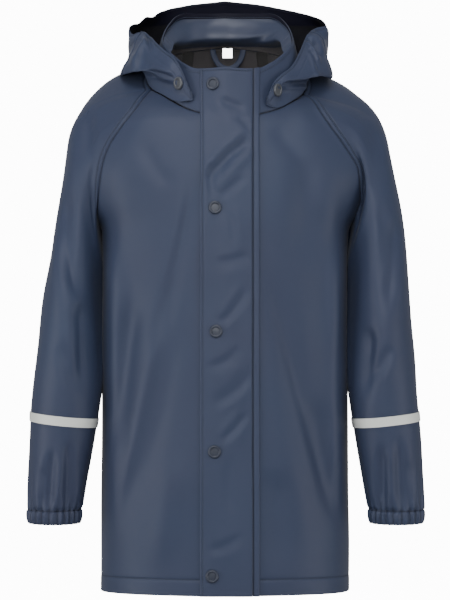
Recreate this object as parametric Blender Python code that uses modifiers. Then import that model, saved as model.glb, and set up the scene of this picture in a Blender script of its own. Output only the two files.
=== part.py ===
"""Child's hooded raglan rain jacket, worn shape with no wearer.

Axes: +X to the viewer's right, -Y the garment's front, +Z up. The origin is the centre
of the neck base, level with the side neck points. Tables and sizes are in millimetres
and become metres as each mesh is made. "right" and "left" are the wearer's own sides,
so the right side is at -X.
"""

import math
from collections import namedtuple

import bpy
import numpy as np
from mathutils import Matrix, Vector

TO_METRES = 0.001
CLOTH_WALL = 1.6
COLLAR_WALL = 2.4
TAPE_WALL = 0.8
SEAM_GAP = 0.3
HOOD_GAP = 0.5
LAY_GAP = 0.7
SECTION_POWER = 2.4

HEM_Z = -609.5
HEM_SIDE_DROP = 6.0
ARMPIT_Z = -190.0
NECK_BACK_CORNER = 117.0
NECK_FRONT_CORNER = 73.0
NECK_CENTRE_Y = -2.5
NECK_HALF_DEPTH = 77.0
NECK_HALF_WIDTH = {-1: 91.0, 1: 97.0}
COLLAR_TOP_HALF_WIDTH = {-1: 75.0, 1: 82.0}
COLLAR_TOP_HALF_DEPTH = 72.0
SHOULDER_SLOPE = {-1: 0.06, 1: 0.26}

FRONT_COLUMNS = 9
BACK_COLUMNS = 8
SKIRT_ROWS = 16
RAGLAN_ROWS = 12
SLEEVE_NECK_STEPS = 3
COLLAR_ROWS = 4
HOOD_ROWS = 15

FLAP_COLUMNS = (-28.5, -14.2, 0.0, 15.8, 31.5)
STRIP_COLUMNS = (32.1, 39.0)
SNAP_RADIUS = 7.6
SNAP_HEIGHT = 3.0
SNAP_DISH_RADIUS = 5.2
SNAP_DISH_DEPTH = 1.1
SNAP_SEAT = 0.45
SNAP_STEPS = 16
CUFF_TOP_Z = -516.5
CUFF_BOTTOM_Z = -532.6
CUFF_GATHERS = 22
CUFF_GATHER_DEPTH = 1.5
CUFF_STEPS_PER_GATHER = 3
TAPE_STATIONS = (5, 6)
LOOP_CENTRE_X = 3.7
LOOP_REACH = 19.0
LOOP_TOP_Z = 38.0
LOOP_DROP = 19.0
LOOP_BAND = 8.4
LOOP_WALL = 1.4
LABEL_WALL = 0.6
LABEL_SIZE = 12.0
LABEL_TOP_Z = 41.5

BodySection = namedtuple("BodySection", "z half_width front back")
BODY_SECTIONS = (
    BodySection(-609, 148.4, 107, 104),
    BodySection(-520, 148.0, 106, 103),
    BodySection(-430, 147.4, 105, 102),
    BodySection(-370, 146.0, 104, 101),
    BodySection(-300, 145.0, 103, 100.5),
    BodySection(-230, 144.5, 102, 100.5),
    BodySection(-190, 146.5, 101, 100.5),
    BodySection(-170, 158.0, 100, 100),
    BodySection(-150, 168.0, 99, 99.5),
    BodySection(-119, 180.0, 97, 99),
    BodySection(-97, 182.0, 94, 98.5),
    BodySection(-65, 183.0, 87, 97),
    BodySection(-47, 176.0, 76, 96),
    BodySection(-30, 165.0, 55, 94),
    BodySection(-19, 150.0, 36, 92),
    BodySection(0, 106.0, 26, 88),
    BodySection(18, 90.0, 20, 84),
    BodySection(43, 86.0, 18, 78),
)

RaglanRow = namedtuple("RaglanRow", "z right_x left_x back_x")
RAGLAN_ROWS_TABLE = (
    RaglanRow(-190, 146.5, 146.5, 146.5),
    RaglanRow(-170, 150.3, 154.6, 151),
    RaglanRow(-150, 148.7, 160.5, 153),
    RaglanRow(-119, 144.9, 159.1, 150),
    RaglanRow(-97, 138.9, 148.2, 142),
    RaglanRow(-65, 119.6, 128.2, 127),
    RaglanRow(-47, 106.1, 118.7, 116),
    RaglanRow(-32, 96.8, 111.7, 107),
    RaglanRow(-19, 88.0, 95.0, 99),
    RaglanRow(0, 80.0, 84.0, 89),
    RaglanRow(18, 76.0, 80.0, 82),
)

NeckRow = namedtuple("NeckRow", "angle right_z left_z top_z")
NECK_ROWS = (
    NeckRow(0, -57, -57, 0.0),
    NeckRow(17, -53, -56, -1.0),
    NeckRow(28, -47.5, -52, 0.5),
    NeckRow(41, -38, -46, 8.0),
    NeckRow(54, -29, -37, 18.0),
    NeckRow(73, -19.5, -25, 32.5),
    NeckRow(90, -7, -9, 43.0),
    NeckRow(117, 16, 14, 65.0),
    NeckRow(140, 33, 32, 80.0),
    NeckRow(180, 43, 43, 84.5),
)

SleeveStation = namedtuple(
    "SleeveStation", "outer_z inner_z right_x left_x inner_x centre_y front back"
)
SLEEVE_STATIONS = (
    SleeveStation(-85, -232, 188.0, 196.0, 148.5, -4, 58, 58),
    SleeveStation(-153, -266, 197.5, 207.5, 145.5, -14, 55, 56),
    SleeveStation(-208, -296, 205.5, 214.5, 144.0, -24, 53, 53),
    SleeveStation(-268, -328, 215.5, 218.5, 143.5, -34, 50, 50),
    SleeveStation(-328, -364, 222.0, 223.0, 144.0, -38, 46, 47),
    SleeveStation(-401, -409, 229.5, 229.0, 149.5, -40, 41, 42),
    SleeveStation(-412, -420, 230.0, 229.8, 151.5, -40, 40, 41),
    SleeveStation(-458, -460, 232.0, 232.6, 158.5, -41, 36, 37),
    SleeveStation(-493, -493, 232.4, 233.6, 165.0, -42, 32, 33),
    SleeveStation(-516, -516, 231.0, 232.5, 170.5, -42, 28.5, 28.5),
)
SLEEVE_CAP_STEPS = 6
SLEEVE_STEPS = (2, 2, 2, 2, 2, 1, 2, 2, 1)

HoodRow = namedtuple(
    "HoodRow",
    "angle neck_out neck_up under_r under_z fold_r fold_z belly_r belly_z "
    "crest_r crest_z rim_r rim_z forward",
)
HOOD_RIGHT_ROWS = (
    HoodRow(27, 1.9, 10, 82.5, -38, 82.8, -36, 83.0, -34.5, 83.2, -33, 83.4, -31, 0),
    HoodRow(36, 1.9, 3, 83.5, -31, 84.2, -24, 84.6, -17, 84.0, -11, 82.8, -5, 0),
    HoodRow(45, 1.9, 1, 86.5, -22, 92.0, -9, 91.0, 1, 87.0, 8, 83.5, 13, 0),
    HoodRow(60, 1.9, 1, 90.0, -11, 98.0, -2, 95.0, 11, 89.0, 21, 83.5, 26, 0),
    HoodRow(75, 4.0, 3, 95.0, 0, 103.0, 1, 99.0, 19, 92.0, 32, 85.5, 37, 8),
    HoodRow(90, 5.0, 6, 103.0, 6, 113.0, 0, 109.0, 24, 101.0, 43, 91.0, 48, 25),
    HoodRow(100, 5.5, 7, 109.0, 10, 126.0, 1, 116.0, 27, 109.0, 45, 101.0, 55, 22),
    HoodRow(112, 6, 8, 114.0, 10, 137.0, 2, 128.0, 27, 125.0, 52, 121.0, 67, 8),
    HoodRow(128, 6, 6, 114.0, 5, 147.0, -22, 149.0, 20, 143.0, 58, 131.0, 80, 0),
)
HOOD_LEFT_ROWS = (
    HoodRow(34, 1.9, 4, 86.0, -43, 86.3, -41, 86.5, -39, 86.5, -37, 86.5, -35, 0),
    HoodRow(41, 1.9, 1, 87.6, -36, 89.2, -28, 89.2, -23, 88.2, -19, 87.2, -16, 0),
    HoodRow(48, 1.9, 1, 90.0, -28, 95.0, -18, 94.0, -12, 91.0, -8, 88.0, -6, 0),
    HoodRow(60, 1.9, 2, 94.0, -18, 100.0, -12, 98.0, -4, 94.0, 2, 89.0, 5, 2),
    HoodRow(75, 4.0, 4, 99.0, -7, 106.0, -7, 104.0, 8, 98.0, 21, 91.0, 26, 12),
    HoodRow(90, 5.0, 7, 106.0, 4, 117.0, -4, 114.0, 18, 108.0, 37, 96.5, 45, 26),
    HoodRow(100, 5.5, 8, 112.0, 7, 130.0, -3, 123.0, 25, 119.0, 43, 108.0, 57, 22),
    HoodRow(112, 6, 8, 116.0, 10, 136.0, 2, 135.0, 27, 136.5, 54, 131.0, 71, 8),
    HoodRow(128, 6, 6, 114.0, 5, 150.0, -22, 156.0, 20, 156.0, 60, 146.0, 83, 0),
)
HOOD_BACK_ROWS = (
    HoodRow(145, 6, 5, 111.0, -5, 150.0, -78, 160.0, -20, 152.0, 55, 139.0, 95, 0),
    HoodRow(163, 6, 4, 110.0, -18, 140.0, -118, 155.0, -35, 142.0, 55, 127, 104, 0),
    HoodRow(180, 6, 4, 109.0, -24, 134.0, -130, 151.0, -45, 136.0, 55, 119, 107.5, 0),
)
HOOD_SEAM_ANGLE = 100.0
HOOD_STARTS = {-1: 27.0, 1: 34.0}
HOOD_SIDE_COLUMNS = 12
HOOD_BACK_COLUMNS = 9
HOOD_KNOTS = (0.0, 0.18, 0.38, 0.64, 0.86, 1.0)
HOOD_FORWARD_SHARES = (0.0, 0.5, 1.0, 0.8, 0.35, 0.0)

Fold = namedtuple("Fold", "x0 z0 x1 z1 x2 z2 width height")
FRONT_FOLDS = (
    Fold(-107, -240, -122, -350, -138, -480, 15, -6.5),
    Fold(-72, -262, -98, -390, -134, -545, 15, 5.0),
    Fold(56, -180, 66, -350, 132, -560, 15, 5.0),
    Fold(104, -380, 122, -460, 138, -550, 17, -7.0),
    Fold(96, -95, 98, -130, 94, -175, 16, -3.0),
    Fold(-60, -450, -70, -520, -84, -600, 18, 2.5),
    Fold(60, -470, 62, -530, 58, -600, 20, -2.5),
)
BACK_FOLDS = (
    Fold(-96, -230, -106, -370, -122, -560, 18, 4.5),
    Fold(92, -240, 108, -380, 120, -570, 18, 4.5),
    Fold(-60, -300, -64, -420, -76, -600, 20, -4.0),
    Fold(40, -260, 50, -400, 66, -600, 20, -4.0),
    Fold(-4, -330, -8, -460, -2, -600, 22, 3.0),
    Fold(-120, -120, -100, -175, -70, -215, 16, -3.0),
    Fold(118, -125, 98, -180, 66, -220, 16, -3.0),
)
SLEEVE_FRONT_FOLDS = (
    Fold(-163, -34, -160, -70, -152, -112, 13, -5.0),
    Fold(180, -50, 184, -100, 178, -160, 14, -4.0),
    Fold(-187, -145, -190, -205, -180, -262, 11, -4.0),
    Fold(204, -170, 202, -220, 198, -275, 11, -4.0),
    Fold(-176, -270, -172, -320, -176, -380, 15, -4.0),
    Fold(172, -300, 172, -340, 168, -375, 13, -4.0),
    Fold(-206, -455, -208, -490, -210, -522, 7, -2.5),
    Fold(-188, -450, -188, -490, -191, -522, 7, -2.5),
    Fold(190, -455, 189, -490, 190, -522, 7, -2.5),
    Fold(209, -450, 210, -490, 212, -522, 7, -2.5),
)
SLEEVE_BACK_FOLDS = (
    Fold(-178, -120, -184, -190, -176, -260, 13, -4.0),
    Fold(182, -120, 188, -190, 180, -260, 13, -4.0),
    Fold(-190, -300, -198, -350, -196, -395, 13, 3.5),
    Fold(192, -300, 198, -350, 198, -395, 13, 3.5),
    Fold(-200, -450, -200, -490, -202, -522, 8, -2.5),
    Fold(200, -450, 201, -490, 203, -522, 8, -2.5),
)

NAVY = (0.047, 0.063, 0.105)
NAVY_DARK = (0.040, 0.053, 0.090)
SILVER = (0.62, 0.64, 0.60)
LABEL_WHITE = (0.85, 0.85, 0.84)


def smooth_curve(knots, values, at):
    """Shape-keeping cubic through the table's points, held level past its ends."""
    knots = np.asarray(knots, float)
    values = np.asarray(values, float)
    step = np.diff(knots)
    slope = np.diff(values) / step
    tangent = np.zeros_like(values)
    tangent[0] = slope[0]
    tangent[-1] = slope[-1]
    turning = slope[:-1] * slope[1:] > 0
    both = slope[:-1] + slope[1:]
    mean = 2 * slope[:-1] * slope[1:] / np.where(turning, both, 1.0)
    tangent[1:-1] = np.where(turning, mean, 0.0)
    i = np.clip(np.searchsorted(knots, at, side="right") - 1, 0, len(step) - 1)
    t = np.clip((at - knots[i]) / step[i], 0.0, 1.0)
    start = (1 + 2 * t) * (1 - t) ** 2 * values[i]
    start_slope = t * (1 - t) ** 2 * step[i] * tangent[i]
    end = t * t * (3 - 2 * t) * values[i + 1]
    end_slope = t * t * (t - 1) * step[i] * tangent[i + 1]
    return start + start_slope + end + end_slope


def column(rows, key, name, at):
    """The named column of a table at the given values of its key column."""
    knots = [getattr(row, key) for row in rows]
    values = [getattr(row, name) for row in rows]
    return smooth_curve(knots, values, np.asarray(at, float))


def ease(x):
    """Smooth step from 0 to 1."""
    x = np.clip(x, 0.0, 1.0)
    return x * x * (3 - 2 * x)


def unit(vectors):
    """Vectors scaled to length 1."""
    return vectors / np.maximum(np.linalg.norm(vectors, axis=-1, keepdims=True), 1e-9)


def stack(x, y, z):
    """Points from three arrays of coordinates."""
    return np.stack(np.broadcast_arrays(x, y, z), axis=-1).astype(float)


def body_point(side, back, z, turn):
    """Body surface at height z, turned from the centre line (0) to the side (pi / 2)."""
    half_width = column(BODY_SECTIONS, "z", "half_width", z)
    depth = column(BODY_SECTIONS, "z", "back" if back else "front", z)
    sin = np.sin(turn)
    cos = np.maximum(np.cos(turn), 0.0)
    reach = (sin**SECTION_POWER + cos**SECTION_POWER) ** (-1 / SECTION_POWER)
    x = side * half_width * reach * sin
    y = depth * reach * cos
    return stack(x, y if back else -y, z)


def neck_point(side, angle):
    """Neck seam ring, angle in degrees from the centre front."""
    turn = np.radians(angle)
    name = "right_z" if side < 0 else "left_z"
    return stack(
        side * NECK_HALF_WIDTH[side] * np.sin(turn),
        NECK_CENTRE_Y - NECK_HALF_DEPTH * np.cos(turn),
        column(NECK_ROWS, "angle", name, angle),
    )


def raglan_turn(side, back, z):
    """Turn of the raglan seam around the body section at height z."""
    name = "back_x" if back else ("right_x" if side < 0 else "left_x")
    share = column(RAGLAN_ROWS_TABLE, "z", name, z) / column(
        BODY_SECTIONS, "z", "half_width", z
    )
    share = np.clip(share, 0.0, 1.0)
    return np.arctan2(share, (1 - share**SECTION_POWER) ** (1 / SECTION_POWER))


def yoke(side, back, u, w):
    """Panel above the armpit: u from centre line to raglan, w from armpit to neck."""
    corner = NECK_BACK_CORNER if back else NECK_FRONT_CORNER
    centre = 180.0 if back else 0.0
    angles = centre + (corner - centre) * u
    ring = neck_point(side, angles)
    ends = neck_point(side, np.array([centre, corner]))[:, 2]
    share = (ring[..., 2] - ends[0]) / (ends[1] - ends[0])
    centre_z = ARMPIT_Z + (ends[0] - ARMPIT_Z) * w
    outer_z = ARMPIT_Z + (ends[1] - ARMPIT_Z) * w
    z = centre_z + (outer_z - centre_z) * share
    turn = u * raglan_turn(side, back, outer_z)
    top_z = ring[..., 2]
    top = body_point(side, back, top_z, u * raglan_turn(side, back, ends[1]))
    point = body_point(side, back, z, turn)
    return point + (ring - top) * (w**2)[..., None]


def panel_rows():
    """Row values of a body panel: heights below the armpit, then shares above it."""
    skirt = np.linspace(HEM_Z, ARMPIT_Z, SKIRT_ROWS + 1)
    raglan = np.linspace(0.0, 1.0, RAGLAN_ROWS + 1)
    return skirt, raglan


def panel_grid(side, back, columns):
    """Points of a half panel: rows from hem to neck, columns from centre to edge."""
    skirt, raglan = panel_rows()
    u = np.linspace(0.0, 1.0, columns + 1)
    z_grid, u_grid = np.meshgrid(skirt, u, indexing="ij")
    rise = (z_grid - HEM_Z) / (ARMPIT_Z - HEM_Z)
    z_grid = z_grid - HEM_SIDE_DROP * (1 - rise) ** 4 * np.sin(u_grid * math.pi / 2) ** 4
    low = body_point(side, back, z_grid, u_grid * math.pi / 2)
    w_grid, u_grid = np.meshgrid(raglan[1:], u, indexing="ij")
    high = yoke(side, back, u_grid, w_grid)
    return np.concatenate([low, high])


def grid_normals(grid, turn, closed=False):
    """Normals of a grid of points; turn is +1 or -1 for the side they face."""
    along = np.gradient(grid, axis=0)
    if closed:
        across = np.roll(grid, -1, axis=1) - np.roll(grid, 1, axis=1)
    else:
        across = np.gradient(grid, axis=1)
    return unit(np.cross(along, across) * turn)


def fold_offset(points, folds, facing):
    """How far soft folds move each point along its normal, strongest where it faces."""
    total = np.zeros(points.shape[:-1])
    for fold in folds:
        steps = np.linspace(0.0, 1.0, 13)[:, None]
        start = np.array([fold.x0, fold.z0])
        middle = np.array([fold.x1, fold.z1])
        end = np.array([fold.x2, fold.z2])
        line = (1 - steps) ** 2 * start + 2 * steps * (1 - steps) * middle
        line = line + steps**2 * end
        flat = points[..., None, [0, 2]] - line
        distance = np.linalg.norm(flat, axis=-1)
        nearest = distance.argmin(axis=-1) / 12
        fade = ease(np.minimum(nearest, 1 - nearest) * 4 + 0.15)
        total += fold.height * fade * np.exp(-((distance.min(axis=-1) / fold.width) ** 2))
    return total * np.clip(facing, 0.0, 1.0)


def pull_edge(grid, axis, last, gap):
    """Moves one edge of a grid towards its neighbour row by half the seam gap."""
    grid = grid.copy()
    edge = [slice(None)] * 2
    near = [slice(None)] * 2
    edge[axis] = -1 if last else 0
    near[axis] = -2 if last else 1
    step = grid[tuple(near)] - grid[tuple(edge)]
    grid[tuple(edge)] += unit(step) * gap / 2
    return grid


def place(name, mesh, colour, rough):
    """Puts a mesh into the jacket's collection as an object with its own material."""
    material = bpy.data.materials.new(name + "_finish")
    material.use_nodes = True
    shader = material.node_tree.nodes["Principled BSDF"]
    shader.inputs["Base Color"].default_value = (*colour, 1.0)
    shader.inputs["Roughness"].default_value = rough
    shader.inputs["Metallic"].default_value = 0.0
    mesh.materials.append(material)
    thing = bpy.data.objects.new(name, mesh)
    bpy.data.collections["rain_jacket"].objects.link(thing)
    return thing


def make_object(name, points, faces, colour, rough):
    """Adds a mesh in metres with its own material; faces are wound to face outwards."""
    points = np.asarray(points, float) * TO_METRES
    volume = 0.0
    for face in faces:
        for near, far in zip(face[1:], face[2:]):
            a, b, c = points[face[0]], points[near], points[far]
            volume += float(np.dot(a, np.cross(b, c)))
    if volume < 0:
        faces = [tuple(reversed(face)) for face in faces]
    mesh = bpy.data.meshes.new(name)
    mesh.from_pydata([tuple(p) for p in points], [], [tuple(f) for f in faces])
    for polygon in mesh.polygons:
        polygon.use_smooth = True
    return place(name, mesh, colour, rough)


def grid_faces(rows, columns, offset, closed):
    """Quads of a grid of rows by columns of points."""
    faces = []
    for row in range(rows - 1):
        for col in range(columns if closed else columns - 1):
            beside = (col + 1) % columns
            a = offset + row * columns + col
            b = offset + row * columns + beside
            faces.append((a, b, b + columns, a + columns))
    return faces


def shell(name, outer, inner, colour, rough, closed=False):
    """A closed wall between an outer and an inner grid of the same shape."""
    rows, columns = outer.shape[:2]
    count = rows * columns
    faces = grid_faces(rows, columns, 0, closed)
    faces += [tuple(reversed(face)) for face in grid_faces(rows, columns, count, closed)]
    for row in (0, rows - 1):
        for col in range(columns if closed else columns - 1):
            beside = (col + 1) % columns
            a = row * columns + col
            b = row * columns + beside
            rim = (b, a, a + count, b + count)
            faces.append(rim if row == 0 else tuple(reversed(rim)))
    if not closed:
        for col in (0, columns - 1):
            for row in range(rows - 1):
                a = row * columns + col
                b = a + columns
                rim = (a, b, b + count, a + count)
                faces.append(rim if col == 0 else tuple(reversed(rim)))
    points = np.concatenate([outer.reshape(-1, 3), inner.reshape(-1, 3)])
    return make_object(name, points, faces, colour, rough)


def torso():
    """Grids and normals of the two fronts and the back, folds included."""
    found = {}
    for side in (-1, 1):
        for back, columns in ((False, FRONT_COLUMNS), (True, BACK_COLUMNS)):
            grid = panel_grid(side, back, columns)
            turn = side if back else -side
            found[side, back] = [grid, grid_normals(grid, turn)]
    for back in (False, True):
        middle = found[-1, back][1][:, 0] + found[1, back][1][:, 0]
        found[-1, back][1][:, 0] = unit(middle)
        found[1, back][1][:, 0] = unit(middle)
    for side in (-1, 1):
        rows = slice(0, SKIRT_ROWS + 1)
        seam = found[side, False][1][rows, -1] + found[side, True][1][rows, -1]
        found[side, False][1][rows, -1] = unit(seam)
        found[side, True][1][rows, -1] = unit(seam)
    for (side, back), (grid, normals) in found.items():
        folds = BACK_FOLDS if back else FRONT_FOLDS
        share = np.linspace(0.0, 1.0, grid.shape[1])
        edge = ease((1 - share) * 6)
        if not back:
            edge = edge * ease(share * 6)
        facing = np.abs(normals[..., 1]) * 1.6
        offset = fold_offset(grid, folds, facing) * edge
        found[side, back][0] = grid + normals * offset[..., None]
    return found


def add_panels(found):
    """The two front panels and the back in one piece."""
    for side, name in ((-1, "front_right"), (1, "front_left")):
        grid, normals = found[side, False]
        inner = grid - normals * CLOTH_WALL
        outer = grid
        for axis, last in ((1, False), (1, True), (0, True)):
            outer = pull_edge(outer, axis, last, SEAM_GAP)
            inner = pull_edge(inner, axis, last, SEAM_GAP)
        shell(name, outer, inner, NAVY, 0.5)
    grid = np.concatenate([found[-1, True][0][:, :0:-1], found[1, True][0]], axis=1)
    normals = np.concatenate([found[-1, True][1][:, :0:-1], found[1, True][1]], axis=1)
    inner = grid - normals * CLOTH_WALL
    outer = grid
    for axis, last in ((1, False), (1, True), (0, True)):
        outer = pull_edge(outer, axis, last, SEAM_GAP)
        inner = pull_edge(inner, axis, last, SEAM_GAP)
    shell("back", outer, inner, NAVY, 0.5)


def sleeve_seam(side, found):
    """The sleeve's first ring from the panels: points, headings, normals, nearness."""
    rows = slice(SKIRT_ROWS, None)
    front, front_n = (part[rows][::-1] for part in found[side, False])
    back, back_n = (part[rows] for part in found[side, True])
    steps = np.linspace(NECK_FRONT_CORNER, NECK_BACK_CORNER, SLEEVE_NECK_STEPS + 1)
    neck = neck_point(side, steps[1:-1])[::-1]
    ring = np.concatenate([front[:, -1], back[1:, -1], neck])
    away = np.concatenate(
        [front[:, -1] - front[:, -2], back[1:, -1] - back[1:, -2], neck * (1, 0, 0)]
    )
    near_armpit = 1 - ease((ring[:, 2] - ARMPIT_Z) / 85)
    near_armpit[-len(neck) :] = 0
    away[-len(neck) :, 2] -= SHOULDER_SLOPE[side] * np.linalg.norm(neck, axis=1)
    down = np.array([side * 0.25, 0.0, -1.0])
    away = unit(away) * (1 - near_armpit[:, None]) + down * near_armpit[:, None]
    up = np.tile([0.0, 0.0, 1.0], (len(neck), 1))
    normals = np.concatenate([front_n[:, -1], back_n[1:, -1], up])
    return ring, unit(away), normals, near_armpit[:, None]


def ring_angles(ring, front_count):
    """Angle around the sleeve of each seam point: 0 at the top, pi at the armpit."""
    gaps = np.linalg.norm(np.roll(ring, -1, axis=0) - ring, axis=1)
    neck_span = gaps[-SLEEVE_NECK_STEPS:].sum()
    start = neck_span / 2
    along = start + np.concatenate([[0.0], np.cumsum(gaps[:-1])])
    armpit = along[front_count]
    total = gaps.sum()
    angles = np.where(
        along <= armpit,
        math.pi * along / armpit,
        math.pi + math.pi * (along - armpit) / (total - armpit),
    )
    return angles


def sleeve_ring(side, station, angles):
    """Ellipse of a sleeve station at the given angles, the front at pi / 2."""
    outer_x = station.right_x if side < 0 else station.left_x
    outer = np.array([outer_x, station.outer_z])
    inner = np.array([station.inner_x, station.inner_z])
    centre = (outer + inner) / 2
    reach = (outer - inner) / 2
    cos = np.cos(angles)[:, None]
    flat = centre + reach * cos
    sin = np.sin(angles)
    depth = np.where(sin > 0, station.front, station.back)
    return stack(side * flat[:, 0], station.centre_y - sin * depth, flat[:, 1])


def sleeve_grid(side, found):
    """Sleeve points from the raglan seam to the cuff, and their normals."""
    ring, away, seam_normals, near_armpit = sleeve_seam(side, found)
    angles = ring_angles(ring, RAGLAN_ROWS)
    rings = [ring] + [sleeve_ring(side, s, angles) for s in SLEEVE_STATIONS]
    rings = np.array(rings)
    headings = np.empty_like(rings)
    headings[0] = away
    headings[1] = unit(rings[2] - rings[1])
    headings[2:-1] = unit(rings[3:] - rings[1:-2])
    headings[-1] = unit(rings[-1] - rings[-2])
    rows = []
    for k, steps in enumerate((SLEEVE_CAP_STEPS, *SLEEVE_STEPS)):
        length = np.linalg.norm(rings[k + 1] - rings[k], axis=1)[:, None]
        if k == 0:
            length = length * (1 + 0.3 * np.maximum(np.cos(angles), 0.0))[:, None]
        for t in np.arange(steps) / steps:
            row = (1 + 2 * t) * (1 - t) ** 2 * rings[k]
            row = row + t * (1 - t) ** 2 * length * headings[k]
            row = row + t * t * (3 - 2 * t) * rings[k + 1]
            row = row + t * t * (t - 1) * length * headings[k + 1]
            rows.append(row)
    rows.append(rings[-1])
    grid = np.array(rows)
    normals = grid_normals(grid, -side, closed=True)
    normals[0] = unit(normals[0] * near_armpit + seam_normals * (1 - near_armpit))
    return grid, normals


def add_sleeves(found):
    """Sleeves, their reflective tapes and their gathered cuffs."""
    for side, word in ((-1, "right"), (1, "left")):
        grid, normals = sleeve_grid(side, found)
        fade = ease(np.linspace(0.0, 1.0, len(grid)) * 8)[:, None]
        front = fold_offset(grid, SLEEVE_FRONT_FOLDS, -normals[..., 1] * 1.5)
        back = fold_offset(grid, SLEEVE_BACK_FOLDS, normals[..., 1] * 1.5)
        grid = grid + normals * ((front + back) * fade)[..., None]
        outer = pull_edge(grid, 0, False, SEAM_GAP)
        inner = pull_edge(grid - normals * CLOTH_WALL, 0, False, SEAM_GAP)
        shell("sleeve_" + word, outer, inner, NAVY, 0.5, closed=True)
        first = SLEEVE_CAP_STEPS + sum(SLEEVE_STEPS[: TAPE_STATIONS[0]])
        band = slice(first, first + 2)
        low = grid[band] + normals[band] * SEAM_GAP
        high = grid[band] + normals[band] * (SEAM_GAP + TAPE_WALL)
        shell("tape_" + word, high, low, SILVER, 0.35, closed=True)
        add_cuff(side, word)


def add_cuff(side, word):
    """Elasticated casing at the end of a sleeve, gathered all round."""
    last = SLEEVE_STATIONS[-1]
    steps = CUFF_GATHERS * CUFF_STEPS_PER_GATHER
    angles = np.arange(steps) * 2 * math.pi / steps
    wave = 0.5 + 0.5 * np.cos(CUFF_GATHERS * angles + 0.7 * np.sin(3 * angles))
    rows = []
    for share in (0.0, 0.45, 1.0):
        z = CUFF_TOP_Z + (CUFF_BOTTOM_Z - CUFF_TOP_Z) * share
        ring = sleeve_ring(side, last._replace(outer_z=z, inner_z=z), angles)
        centre = ring.mean(axis=0)
        depth = CUFF_GATHER_DEPTH * (0.6 + 0.8 * share * (1 - share))
        rows.append(ring - unit(ring - centre) * (depth * wave)[:, None])
    outer = np.array(rows)
    normals = grid_normals(outer, -side, closed=True)
    flat = unit(normals * (1, 1, 0))
    shell("cuff_" + word, outer, outer - flat * CLOTH_WALL, NAVY, 0.5, closed=True)


def collar_point(side, angle, rise):
    """Collar surface, rise from the neck seam (0) to the top edge (1)."""
    turn = np.radians(angle)
    base = neck_point(side, angle) + (0, 0, SEAM_GAP + 0.1)
    top = stack(
        side * COLLAR_TOP_HALF_WIDTH[side] * np.sin(turn),
        NECK_CENTRE_Y - COLLAR_TOP_HALF_DEPTH * np.cos(turn),
        column(NECK_ROWS, "angle", "top_z", angle),
    )
    rise = np.asarray(rise, float)[..., None]
    return base + (top - base) * rise


def neck_angles():
    """Angles of the panels' and sleeves' top points, centre front to centre back."""
    front = np.linspace(0.0, NECK_FRONT_CORNER, FRONT_COLUMNS + 1)
    top = np.linspace(NECK_FRONT_CORNER, NECK_BACK_CORNER, SLEEVE_NECK_STEPS + 1)
    back = np.linspace(NECK_BACK_CORNER, 180.0, BACK_COLUMNS + 1)
    return np.concatenate([front, top[1:], back[1:]])


def add_collar():
    """Stand collar, open at the centre front under the flap."""
    angles = neck_angles()
    rises = np.linspace(0.0, 1.0, COLLAR_ROWS + 1)
    rise_grid, angle_grid = np.meshgrid(rises, angles, indexing="ij")
    right = collar_point(-1, angle_grid, rise_grid)
    left = collar_point(1, angle_grid, rise_grid)
    grid = np.concatenate([right, left[:, -2::-1]], axis=1)
    normals = grid_normals(grid, 1)
    inner = grid - normals * COLLAR_WALL
    outer = grid
    for last in (False, True):
        outer = pull_edge(outer, 1, last, SEAM_GAP)
        inner = pull_edge(inner, 1, last, SEAM_GAP)
    shell("collar", outer, inner, NAVY, 0.45)


def row_point(row, x):
    """Point of a panel or collar row of points at distance x from the centre line."""
    reach = np.abs(row[:, 0])
    y = np.interp(np.abs(x), reach, row[:, 1])
    z = np.interp(np.abs(x), reach, row[:, 2])
    return np.array([x, y, z])


def flap_grid(found, x_values):
    """Points on the fronts and the collar under the flap, from the hem upwards."""
    rises = np.linspace(0.0, 1.0, COLLAR_ROWS + 1)[1:]
    angles = np.linspace(0.0, NECK_FRONT_CORNER, FRONT_COLUMNS + 1)
    rise_grid, angle_grid = np.meshgrid(rises, angles, indexing="ij")
    grid = []
    for x in x_values:
        side = -1 if x < 0 else 1
        rows = list(found[side, False][0]) + list(collar_point(side, angle_grid, rise_grid))
        grid.append([row_point(row, x) for row in rows])
    return np.array(grid).transpose(1, 0, 2)


def add_flap(found):
    """Storm flap over the front opening and the narrow strip beside it."""
    for name, x_values in (
        ("storm_flap", FLAP_COLUMNS),
        ("flap_strip", STRIP_COLUMNS),
    ):
        grid = flap_grid(found, x_values)
        normals = grid_normals(grid, -1)
        low = grid + normals * LAY_GAP
        high = grid + normals * (LAY_GAP + CLOTH_WALL)
        shell(name, high, low, NAVY, 0.45)


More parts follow.
